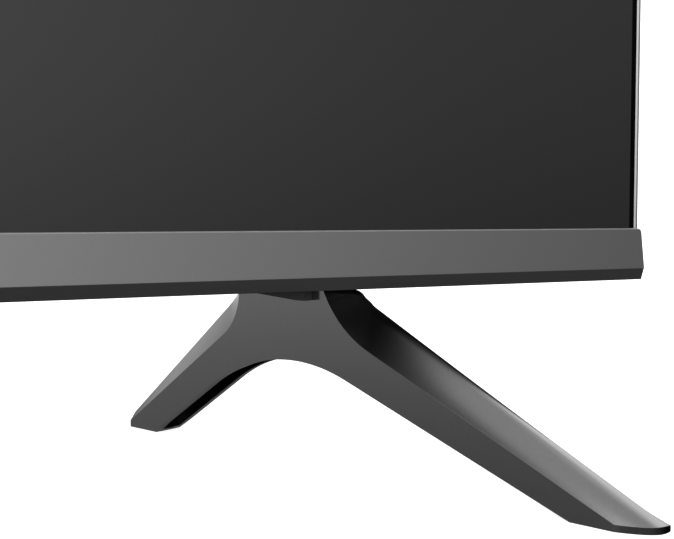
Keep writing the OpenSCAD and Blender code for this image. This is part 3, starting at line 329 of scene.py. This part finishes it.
def tubes(rows, columns, count=1):
    """Faces of tubes numbered one after another: rows of rings, closed by a flat face at both ends."""
    start = np.arange(count)[:, None, None] * rows * columns
    ring = np.arange(columns)
    wall = quads(rows, columns, ring=True) + start
    ends = np.stack([ring, ring[::-1] + (rows - 1) * columns]) + start
    return wall.reshape(-1, 4).tolist() + ends.reshape(-1, columns).tolist()


def rim(rows, columns):
    """Numbers of the points round a grid, in order."""
    number = np.arange(rows * columns).reshape(rows, columns)
    return np.concatenate([number[0, :-1], number[:-1, -1], number[-1, :0:-1], number[:0:-1, 0]])


def block(top, bottom):
    """Points and faces of the solid between two sheets on one grid: both sheets and a wall round the rims."""
    rows, columns = top.shape[:2]
    count = rows * columns
    edge = rim(rows, columns)
    after = np.roll(edge, -1)
    wall = np.stack([edge, after, after + count, edge + count], -1)
    sheet = quads(rows, columns)
    points = np.concatenate([top.reshape(-1, 3), bottom.reshape(-1, 3)])
    return points, np.concatenate([sheet, sheet[:, ::-1] + count, wall])


def soften(piece, marked, width):
    """Rounds the edges whose two ends carry the same mark above 0, and keeps other sharp folds sharp."""
    mesh = piece.data
    ends = np.empty(2 * len(mesh.edges), int)
    mesh.edges.foreach_get("vertices", ends)
    first, second = marked[ends.reshape(-1, 2)].T
    chosen = (first == second) & (first > 0)
    weights = mesh.attributes.new("bevel_weight_edge", "FLOAT", "EDGE").data
    weights.foreach_set("value", chosen.astype(np.float32))
    sharp = np.empty(len(mesh.edges), bool)
    mesh.edges.foreach_get("use_edge_sharp", sharp)
    mesh.edges.foreach_set("use_edge_sharp", sharp & ~chosen)
    bevel = piece.modifiers.new("rounded_edges", "BEVEL")
    bevel.limit_method = "WEIGHT"
    bevel.width = width * MM
    bevel.segments = 3
    bevel.use_clamp_overlap = False
    bevel.harden_normals = True


def share(value, low, high):
    """0 on the far side of low, 1 past high, and straight between."""
    return np.clip((value - low) / (high - low), 0, 1)


# Legs, in millimetres: a runs forward along the inner face from the toe, w outwards across the leg, z up.
# A place s on an edge counts its corners: heel 1, rear arc 2 to 3, neck 4 to 5, front arc 6 to 7, toe 8.

SPLAY = math.radians(22.66)
LEG_T = 12
LEG_H = 60
LEG_EDGE = 0.03  # width of the bevel on the rims
STEPS = (4, 18, 16, 4, 10, 5, 22, 40, 30)  # stations between two corners
SPARE = 25  # run of the upper edges past heel and toe, which is trimmed
NECK_FRONT = -104.5
NECK_REAR = -144.6
TOE_H = 2.1
TOE_TIP = 10.45  # a of the foremost point
TOE_START = -0.8  # a at the inner face
TOE_R = 1.8
HEEL_REACH = 206.5  # from the toe back to the CAD leg's heel
HEEL_SLANT = 7.5  # how much further that heel reaches on the outer face
HEEL_H = 2.6
HEEL_PAST = 1.3  # how much further the heel made here reaches, at the inner face
HEEL_CUT = 12.5  # and how much it gains from there to the outer face
ROUND_R = 5.6  # rounding of the front limb's outer edge: radius
ROUND_W = 5.2  # its width
ROUND_FROM = NECK_FRONT + 4  # it starts at this a
ROUND_FULL = NECK_FRONT + 10  # and is full from here on
ROUND_FADE = (-1.2, 3.4)  # heights over the toe between which it fades out
FOOT_Z = 0.05
ARCH_HEEL = (-191.6, FOOT_Z)
ARCH_TOP = (NECK_FRONT - 22.8, 42.9)
ARCH_TOE = (-13.9, FOOT_Z)
ARCH_R = 67
REAR_TILT = 0.8  # rise of the arch's rear edge at the inner face, which turns to a drop at the outer one
REAR_TURN = 1.3  # share of the rise that is lost on the way there
REAR_FADE = (12, 4)  # the tilt grows over this run behind the neck, and over this height above the foot
LEG_WALL = 2.2  # walls beside the channel in the underside
WALL_STEP = 0.1  # run of the channel's steep sides
ROOF_T = 2.6  # thickness over the channel
HEAD_T = 8  # and under the set, where the screws pass
CHANNEL_END = (2, 5)  # the channel rises between these distances from the arch's ends


def corner(before, at, after, radius):
    """Rounding of a corner: where its arc leaves both sides, and the arc's centre, radius, start and turn."""
    before, at, after = (np.array(p, float) for p in (before, at, after))
    d, e = ((p - at) / np.linalg.norm(p - at) for p in (before, after))
    half = math.acos(d @ e) / 2
    sides = min(np.linalg.norm(before - at), np.linalg.norm(after - at))
    reach = min(radius / math.tan(half), 0.98 * sides)
    radius = reach * math.tan(half)
    centre = at + (d + e) / np.linalg.norm(d + e) * radius / math.sin(half)
    start, end = (math.atan2(p[1], p[0]) for p in (at + d * reach - centre, at + e * reach - centre))
    turn = (end - start + math.pi) % (2 * math.pi) - math.pi
    return at + d * reach, at + e * reach, (centre, radius, start, turn)


def edge_line(points, at, arcs):
    """Edge seen from the leg's side as a function of s: straight between points, which lie at the values at,
    and round on the stretches of arcs. It gives a and z in the last axis."""
    points = np.array(points)

    def place(s):
        line = np.stack([np.interp(s, at, points[:, k]) for k in (0, 1)], -1)
        for low, high, (centre, radius, start, turn) in arcs:
            angle = start + turn * (s - low) / (high - low)
            arc = centre + radius * np.stack([np.cos(angle), np.sin(angle)], -1)
            line = np.where(((s >= low) & (s <= high))[..., None], arc, line)
        return line

    return place


def upper_edge(heel, rear, rear_r, top_rear, top_front, front, front_r, toe):
    """Upper edge of a leg: heel, rear limb, neck, front limb and toe, with round corners at the neck."""
    first, last = [heel - SPARE, TOE_H], [toe + SPARE, TOE_H]
    heel, toe = [heel, TOE_H], [toe, TOE_H]
    top_rear, top_front = [top_rear, LEG_H], [top_front, LEG_H]
    r0, r1, rear_arc = corner(heel, rear, top_rear, rear_r)
    f0, f1, front_arc = corner(top_front, front, toe, front_r)
    points = [first, heel, r0, r1, top_rear, top_front, f0, f1, toe, last]
    return edge_line(points, np.arange(10), [(2, 3, rear_arc), (6, 7, front_arc)])


def lower_edge():
    """Lower edge of a leg: foot, arch and foot, with the arch's top rounded from one limb to the other."""
    l0, l1, arch = corner(ARCH_HEEL, ARCH_TOP, ARCH_TOE, ARCH_R)
    points = [(-260, FOOT_Z), ARCH_HEEL, l0, l1, ARCH_TOE, (60, FOOT_Z)]
    return edge_line(points, [0, 1, 2, 7, 8, 9], [(2, 7, arch)])


INNER_EDGE = upper_edge(
    heel=2.7 - HEEL_REACH, rear=(NECK_REAR, 47.8), rear_r=20, top_rear=NECK_REAR,
    top_front=NECK_FRONT, front=(NECK_FRONT + 6.2, 47), front_r=40, toe=-1)
OUTER_EDGE = upper_edge(
    heel=-10.9 - HEEL_REACH, rear=(NECK_REAR - 15.4, 52.8), rear_r=60, top_rear=NECK_REAR - 8.9,
    top_front=NECK_FRONT + 8.5, front=(NECK_FRONT + 12.5, 57.6), front_r=30, toe=8.9)
LOWER_EDGE = lower_edge()


def trimmed(stations, along, heel, toe):
    """Stations moved so that each column of along(s) runs from heel to toe; between the arcs they stay.
    Where an end lies past the corner of heel or toe, that corner keeps its station."""
    k = along(np.array([0.0, 1, 2, 7, 8, 9])[:, None] + 0 * heel)[..., 0]
    first = np.where(heel > k[1], 1 + (heel - k[1]) / (k[2] - k[1]), (heel - k[0]) / (k[1] - k[0]))
    last = np.where(toe < k[4], 7 + (toe - k[3]) / (k[4] - k[3]), 8 + (toe - k[4]) / (k[5] - k[4]))
    s = stations[:, None]
    rear = np.where(first < 0.99, np.where(s < 1, first + (1 - first) * s, s), first + (2 - first) * s / 2)
    fore = np.where(last > 8.01, np.where(s > 8, 8 + (last - 8) * (s - 8), s), 7 + (last - 7) * (s - 7) / 2)
    return np.where(s < 2, rear, np.where(s > 7, fore, s))


def toe_line(w):
    """Front end of the leg over w: a cubic out from the inner face, and an arc round to the outer face."""
    turn = LEG_T - TOE_R
    out = TOE_TIP - (TOE_TIP - TOE_START) * np.maximum(1 - w / turn, 0) ** 3
    back = TOE_TIP - TOE_R + np.sqrt(np.maximum(TOE_R ** 2 - (w - turn) ** 2, 0))
    return np.where(w < turn, out, back)


def upper_sheet(stations, w, heel, toe):
    """Upper sheet of a leg as a and z: ruled across between inner and outer upper edge at the neck, and from
    the ends of the neck's arcs straight to heel and toe. An arc rounds the outer edge of the front limb; it
    grows in by a smooth step and fades out towards the toe."""
    v = (w / LEG_T)[:, None]

    def mixed(s):
        return INNER_EDGE(s) * (1 - v) + OUTER_EDGE(s) * v

    def ruled(s):
        line = mixed(s)
        for arc_end, along, tip, tip_h in ((2.0, 2 - s, heel, HEEL_H), (7.0, s - 7, toe, TOE_H)):
            start = mixed(np.array([arc_end]))
            straight = start + (np.stack([tip, 0 * tip + tip_h], -1) - start) * along[..., None]
            line = np.where(along[..., None] > 0, straight, line)
        return line

    a, z = np.moveaxis(ruled(trimmed(stations, ruled, heel, toe)), -1, 0)
    past = np.maximum(w - (LEG_T - ROUND_W), 0)
    begun = share(a, ROUND_FROM, ROUND_FULL)
    part = begun ** 2 * (3 - 2 * begun) * share(z - TOE_H, *ROUND_FADE)
    return a, z - part * (ROUND_R - np.sqrt(ROUND_R ** 2 - past ** 2))


def lower_sheet(stations, w, heel, toe):
    """Lower sheet of a leg as a and z: it follows the lower edge, leans across the rear limb, and steps up
    between two walls into a channel."""
    a, z = np.moveaxis(LOWER_EDGE(trimmed(stations, LOWER_EDGE, heel, toe)), -1, 0)
    run, rise = REAR_FADE
    rear = share(a, NECK_REAR, NECK_REAR - run) * share(z, FOOT_Z, FOOT_Z + rise)
    z = z + rear * REAR_TILT * (1 - REAR_TURN * w / LEG_T)
    line = INNER_EDGE(np.linspace(0, 9, 900))
    roof = np.minimum(np.interp(a, line[:, 0], line[:, 1]) - ROOF_T, LEG_H - HEAD_T)
    ends = share(a - ARCH_HEEL[0], *CHANNEL_END) * share(ARCH_TOE[0] - a, *CHANNEL_END)
    hollow = (w >= LEG_WALL) & (w <= LEG_T - LEG_WALL)
    return a, z + hollow * ends * np.maximum(roof - z, 0)


def leg_sheets():
    """Upper and lower sheet of a leg as points (a, w, z)."""
    stations = np.concatenate([k + np.arange(n) / n for k, n in enumerate(STEPS)] + [[9.0]])
    walls = [LEG_WALL - WALL_STEP, LEG_WALL, LEG_T - LEG_WALL, LEG_T - LEG_WALL + WALL_STEP]
    w = np.unique(np.concatenate([np.linspace(0, LEG_T, 25), walls, np.linspace(9.2, LEG_T, 15)]))
    heel = -HEEL_REACH - HEEL_PAST - HEEL_CUT * (w / LEG_T)
    sheets = [sheet(stations, w, heel, toe_line(w)) for sheet in (upper_sheet, lower_sheet)]
    return [np.stack([a, np.broadcast_to(w, a.shape), z], -1) for a, z in sheets]


def leg(side, sign):
    """Leg on one side: sheets turned by the splay, set where the CAD node stands, mirrored for the left."""
    low, high = (np.array(v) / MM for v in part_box("leg_right"))
    heel = -HEEL_REACH - HEEL_SLANT
    toe_x = low[0] + HEEL_REACH * math.sin(SPLAY)
    toe_y = high[1] - LEG_T * math.sin(SPLAY) + heel * math.cos(SPLAY)
    placed = []
    for sheet in leg_sheets():
        a, w, z = np.moveaxis(sheet, -1, 0)
        x = toe_x + a * math.sin(SPLAY) + w * math.cos(SPLAY)
        y = toe_y - a * math.cos(SPLAY) + w * math.sin(SPLAY)
        placed.append(np.stack([sign * x, y, z], -1))
    points, faces = block(*placed)
    piece = put(f"{side}_leg_shell", points, faces[:, ::sign].tolist(), "leg_grey", "set")
    rows, columns = placed[0].shape[:2]
    marked = np.zeros(len(points), int)
    marked[rim(rows, columns)] = 1
    marked[rim(rows, columns) + rows * columns] = 2
    soften(piece, marked, LEG_EDGE)
    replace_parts(piece, f"leg_{side}")


leg("right", 1)
leg("left", -1)


# Screws and key, in millimetres

COVER_SEAT = 18.96
SCREW_X = 460.2
UPPER_SCREWS = [(-SCREW_X, 599.1), (0, 599.1), (SCREW_X, 599.1), (-SCREW_X, 550.5), (SCREW_X, 550.5),
                (-SCREW_X, 487.91), (SCREW_X, 487.91)]
LOWER_SCREWS = [(x, z) for x in (-SCREW_X, SCREW_X) for z in (93.7, 276.85, 460)]
LEG_SEAT = 52
LEG_SCREWS = [(side * x, y) for side in (-1, 1) for x, y in ((343.12, 10.8), (334.61, 31.19))]
HUB_R = 0.02  # radius of the key's smallest rings, in place of points
CROWN = np.concatenate([np.linspace(0.02, 0.6, 16), np.linspace(0.66, 1, 7)])  # rings of a screw's head
DOME = 0.4  # fall of the head from its middle to its edge, as a share of its height
SLOT_DEPTH = 0.6  # depth of the cross, also as a share of the height
SLOT_HALF = (0.15, 0.075)  # half width of a slot at the top and at the bottom, as shares of the head's radius
SLOT_REACH = (0.55, 0.44)  # half length, likewise
CONE_H = 0.8  # tip of the shank


def turned(name, r, rise, centres, outward, slot, body):
    """Turned pieces: rings of radius r round an axis that points outward from each centre, at the height rise
    along it, closed by a flat face at the first and last ring."""
    outward = np.array(outward, float)
    side = np.array([1.0, 0, 0])
    up = np.cross(outward, side)
    round_axis = np.cos(TURN)[:, None] * side + np.sin(TURN)[:, None] * up
    shape = r[:, None, None] * round_axis + rise[..., None] * outward
    points = np.array(centres, float)[:, None, None] + shape
    return put(name, points, tubes(*shape.shape[:2], len(centres)), slot, body)


def screws(node, places, outward, head_r, head_h, shank_r, shank):
    """Pan head screws that seat at places: the head is a dome that falls by the fourth power of the radius,
    sunk by a cross of two slots with sloping sides, and the shank ends in a blunt cone."""
    crown = CROWN * head_r
    r = np.concatenate([crown, [head_r, shank_r, shank_r, 0.5 * shank_r]])
    x, y = np.abs(CROWN[:, None] * np.cos(TURN)), np.abs(CROWN[:, None] * np.sin(TURN))
    slots = [share(p, *SLOT_HALF) * share(q, *SLOT_REACH) for p, q in ((x, y), (y, x))]
    dome = head_h * ((1 - DOME * CROWN ** 4)[:, None] - SLOT_DEPTH * np.maximum(*slots))
    below = np.array([0, 0, CONE_H - shank, -shank])[:, None] + 0 * TURN
    rise = np.concatenate([dome, below])
    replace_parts(turned(f"{node}_turned", r, rise, places, outward, "screw_steel", "set"), node)


def power_key():
    """Round key under the pod: a parabolic dish for the finger, a rim rounded by a quarter circle, a barrel
    and the flange that holds the key in."""
    low, high = (np.array(v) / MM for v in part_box("power_key"))
    flange, flange_t, barrel, edge, dish = (high[0] - low[0]) / 2, 1, 4.7, 0.6, 0.5
    face = np.linspace(HUB_R, barrel - edge, 24)
    quarter = np.linspace(0, math.pi / 2, 9)[1:]
    r = np.concatenate([face, barrel - edge + edge * np.sin(quarter), [barrel, flange, flange, HUB_R]])
    bowl = dish * (1 - (face / face[-1]) ** 2)
    end = high[2] - low[2]
    seat = end - flange_t
    drop = np.concatenate([bowl, edge * (1 - np.cos(quarter)), [seat, seat, end, end]])
    centre = [(low[0] + high[0]) / 2, (low[1] + high[1]) / 2, low[2]]
    rise = -drop[:, None] + 0 * TURN
    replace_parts(turned("power_key_turned", r, rise, [centre], (0, 0, -1), "key_plastic", "key"), "power_key")


for group, spots in (("upper_cover_screws", UPPER_SCREWS), ("lower_cover_screws", LOWER_SCREWS)):
    screws(group, [(x, COVER_SEAT, z) for x, z in spots], (0, 1, 0),
           head_r=3.2, head_h=1.5, shank_r=1.4, shank=3.3)
screws("leg_screws", [(x, y, LEG_SEAT) for x, y in LEG_SCREWS], (0, 0, -1),
       head_r=3.5, head_h=2.4, shank_r=2.0, shank=17.8)
power_key()


# Bright line along the chin's upper edge, in millimetres

CHIN_TOP = 79.7
CHIN_EDGE = (-5.604, 79.2)  # y and z where the sloping face meets the chamfer
CHIN_SLOPE = math.radians(7.45)
LINE_R = 0.6
LINE_PROUD = 0.02  # height over the chin
LINE_HALF = 473.4  # half its length
LINE_NOSE = 2  # length of an end
LINE_ROOT = 0.3  # how far it is let into the chin, as a share of the radius
LINE_TIP = 0.05  # size of its outermost ring


def chin_line():
    """Drawn strip over the chin's chamfer: a quarter circle that leaves the chin's sloping face as its
    tangent, swept along the chin, with the ends drawn in as quarter ellipses."""
    z = CHIN_TOP + LINE_PROUD - LINE_R
    lift = LINE_R - LINE_PROUD + (z - CHIN_EDGE[1]) * math.sin(CHIN_SLOPE)
    y = CHIN_EDGE[0] + lift / math.cos(CHIN_SLOPE)
    lean = np.linspace(CHIN_SLOPE, math.pi / 2, 13)
    back = LINE_R * np.append(-np.cos(lean), LINE_ROOT)
    up = LINE_R * np.append(np.sin(lean), -LINE_ROOT)
    nose = np.linspace(0, math.pi / 2, 9)
    straight = LINE_HALF - LINE_NOSE
    x = np.concatenate([-straight - LINE_NOSE * np.cos(nose), straight + LINE_NOSE * np.sin(nose)])
    size = np.maximum(np.concatenate([np.sin(nose), np.cos(nose)]), LINE_TIP)[:, None]
    points = np.stack([x[:, None] + 0 * back, y + size * back, z + LINE_R * (1 - size) + size * up], -1)
    put("chin_line", points, tubes(*points.shape[:2]), "bezel_grey", "set")


chin_line()


# Dressing of the parts that keep their solid shape

BEVELS = {"chin_cover": 0.3, "chin_lower_trim": 0.2, "bezel_left": 0.08, "bezel_right": 0.08,
          "bezel_top": 0.08, "key_pod": 0.3, "wall_mount_inserts": 0.3, "ir_window": 0.1}  # widths in mm
WELD_GAP = 0.002  # points nearer than this are joined, in mm
BEVEL_ANGLE = math.radians(35)


def rounded(node, width):
    """Joins the triangles of a CAD part and rounds its edges by a bevel of the given width in millimetres."""
    weld = node.modifiers.new("joined", "WELD")
    weld.merge_threshold = WELD_GAP * MM
    bevel = node.modifiers.new("rounded_edges", "BEVEL")
    bevel.limit_method = "ANGLE"
    bevel.angle_limit = BEVEL_ANGLE
    bevel.width = width * MM
    bevel.segments = 4


for part in frame["record"]["subparts"]:
    node = frame["nodes"][part["node"]]
    node.data.materials.clear()
    node.data.materials.append(FINISHES[part["material_slot"]])

for name, width in BEVELS.items():
    rounded(frame["nodes"][name], width)


# Studio: a low glow on the front left, white behind and overhead, a key on the right, and a strip overhead.
# A way is a direction, an edge the two cosines between which a light sets in, and a rise the two heights.

GLOW_WAY = (-0.6, -0.8, 0)
GLOW_FOCUS = 1.9
GLOW_SIDE = 0.46  # level at a right angle to its way
GLOW_HEIGHTS = ((-1, 0.02), (1, 0.03), (-0.6, 0.01), (-0.3, 0.02), (0, 0.62), (0.18, 1), (0.35, 0.95),
                (0.75, 0.06))  # the two ends come first
FILL_EDGE = (0.25, 0.6)  # from behind
FILL = 0.18
LEFT_EDGE = (0.7, 0.95)
LEFT = 0.13
WALL_WAY = (0.5, 0.6, 0.62)
WALL_EDGE = (0.56, 0.74)
WALL = 1.0
PANEL_WAY = (0.62, -0.79, 0)
PANEL_EDGE = (-0.22, -0.07)
PANEL_RISE = (0.6, 0.78)
PANEL = 0.75
PANEL_DIM = 0.18  # share of its level past the edge
KEY_WAY = (0.7, 0.25, 0.67)
KEY_EDGE = (0.86, 1.0)
KEY = 0.8
STRIP_DEPTH = -0.4  # its middle, along the set's depth
STRIP_EDGE = (0.09, 0.04)  # distances from the middle
STRIP_RISE = (0.5, 0.65)
STRIP = 1.7
CARD_X = (290, 410)  # card and floor are in millimetres
CARD_Y = (-60, -4)
CARD_FADE = (-52, -14)  # y from which the card begins to cover, and where it covers in full
CARD_Z = 62
CARD_BEND = 0.002
FLOOR_R = (500, 8000)  # first and last ring of the flat disc
COVE_R = 3000
COVE_TOP = 9000


def studio_world():
    """Soft surround: a glow that falls off from its way as e to the cosine of the angle, times a curve over
    the height, with faint fills from the left and from behind, or where they are brighter the white lights:
    the back wall or the panel overhead, with the key and the strip added."""
    world = bpy.data.worlds.new("studio")
    world.use_nodes = True
    tree = world.node_tree
    tree.nodes.clear()
    way = add(tree, "ShaderNodeTexCoord").outputs["Generated"]
    side, depth, height = add(tree, "ShaderNodeSeparateXYZ", {0: way}).outputs

    def toward(aim):
        return add(tree, "ShaderNodeVectorMath", {0: way, 1: aim}, operation="DOT_PRODUCT").outputs["Value"]

    curve = add(tree, "ShaderNodeFloatCurve", {
        "Value": add(tree, "ShaderNodeMapRange", {"Value": height, "From Min": -1.0}).outputs[0]})
    points = curve.mapping.curves[0].points
    for k, (z, level) in enumerate(GLOW_HEIGHTS):
        point = points[k] if k < 2 else points.new(0, 0)
        point.location = ((z + 1) / 2, level)
    curve.mapping.update()
    rising = calc(tree, "POWER", math.exp(GLOW_FOCUS), toward(GLOW_WAY))
    glow = calc(tree, "MULTIPLY", calc(tree, "MULTIPLY", rising, GLOW_SIDE), curve.outputs[0])
    glow = calc(tree, "ADD", glow, ramp(tree, depth, *FILL_EDGE, FILL))
    glow = calc(tree, "ADD", glow, ramp(tree, calc(tree, "MULTIPLY", side, -1.0), *LEFT_EDGE, LEFT))
    wall = ramp(tree, toward(WALL_WAY), *WALL_EDGE, WALL)
    panel = ramp(tree, toward(PANEL_WAY), *PANEL_EDGE, (1 - PANEL_DIM) * PANEL)
    panel = calc(tree, "ADD", panel, PANEL_DIM * PANEL)
    panel = calc(tree, "MULTIPLY", panel, ramp(tree, height, *PANEL_RISE))
    white = calc(tree, "MAXIMUM", wall, panel)
    white = calc(tree, "ADD", white, ramp(tree, toward(KEY_WAY), *KEY_EDGE, KEY))
    off = calc(tree, "ABSOLUTE", calc(tree, "SUBTRACT", depth, STRIP_DEPTH))
    strip = calc(tree, "MULTIPLY", ramp(tree, off, *STRIP_EDGE, STRIP), ramp(tree, height, *STRIP_RISE))
    white = calc(tree, "ADD", white, strip)
    surround = add(tree, "ShaderNodeBackground", {"Color": calc(tree, "MAXIMUM", glow, white)}).outputs[0]
    add(tree, "ShaderNodeOutputWorld", {"Surface": surround})
    bpy.context.scene.world = world


def black_card():
    """Black card that hangs under the chin's edge, out of sight, and keeps the panel off the leg's neck: a
    sheet bent by a parabola, which shows only from below and whose front thins out to nothing."""
    x, y = np.meshgrid(np.linspace(*CARD_X, 25), np.linspace(*CARD_Y, 11))
    points = np.stack([x, y, CARD_Z + CARD_BEND * (y - CARD_Y[1]) ** 2], -1)
    finish = Finish("black_velvet", ("#010101", "#020202"), (0.9, 1.0), grain=1)
    depth = add(finish.tree, "ShaderNodeSeparateXYZ", {0: finish.place}).outputs[1]
    cover = ramp(finish.tree, depth, *(v * MM for v in CARD_FADE))
    under = add(finish.tree, "ShaderNodeNewGeometry").outputs["Backfacing"]
    finish.tree.links.new(calc(finish.tree, "MULTIPLY", cover, under), finish.shader.inputs["Alpha"])
    card = model("black_card", points, quads(*x.shape)[:, ::-1].tolist(), finish.material)
    card.visible_camera = False
    card.visible_diffuse = False
    card.visible_shadow = False


def studio_floor():
    """Pale floor with a cove round it: a disc that turns up by a quarter circle into a wall, of white acrylic
    that is lit from behind and throws no light on the set."""
    flat = np.linspace(*FLOOR_R, 8)
    bend = np.linspace(0, math.pi / 2, 17)[1:]
    r = np.concatenate([flat, FLOOR_R[1] + COVE_R * np.sin(bend), [FLOOR_R[1] + COVE_R]])[:, None]
    z = np.concatenate([0 * flat, COVE_R * (1 - np.cos(bend)), [COVE_TOP]])[:, None]
    points = np.stack([r * np.cos(TURN), r * np.sin(TURN), z + 0 * TURN], -1)
    faces = quads(*points.shape[:2], ring=True).tolist() + [list(range(len(TURN)))]
    pale = Finish("lit_acrylic", ("#f2f2f2", "#f6f6f6"), (0.7, 0.8), grain=400,
                  Emission_Color=linear("#ffffff"), Emission_Strength=0.85)
    floor = model("floor", points, faces, pale.material)
    floor.visible_diffuse = False
    floor.visible_glossy = False
    floor.visible_shadow = False


def camera():
    """Camera at the photograph's place, close to the right leg and looking along the chin."""
    lens = bpy.data.cameras.new("photo_camera")
    lens.sensor_width = 36
    lens.lens = 53.63
    lens.clip_start = 0.01
    view = bpy.data.objects.new("photo_camera", lens)
    view.location = (0.19745, -0.29944, 0.08414)
    view.rotation_euler = [math.radians(v) for v in (86.984, 0, -26.54)]
    bpy.context.scene.collection.objects.link(view)
    bpy.context.scene.camera = view


studio_world()
studio_floor()
black_card()
camera()
bpy.context.scene.view_settings.view_transform = "Standard"
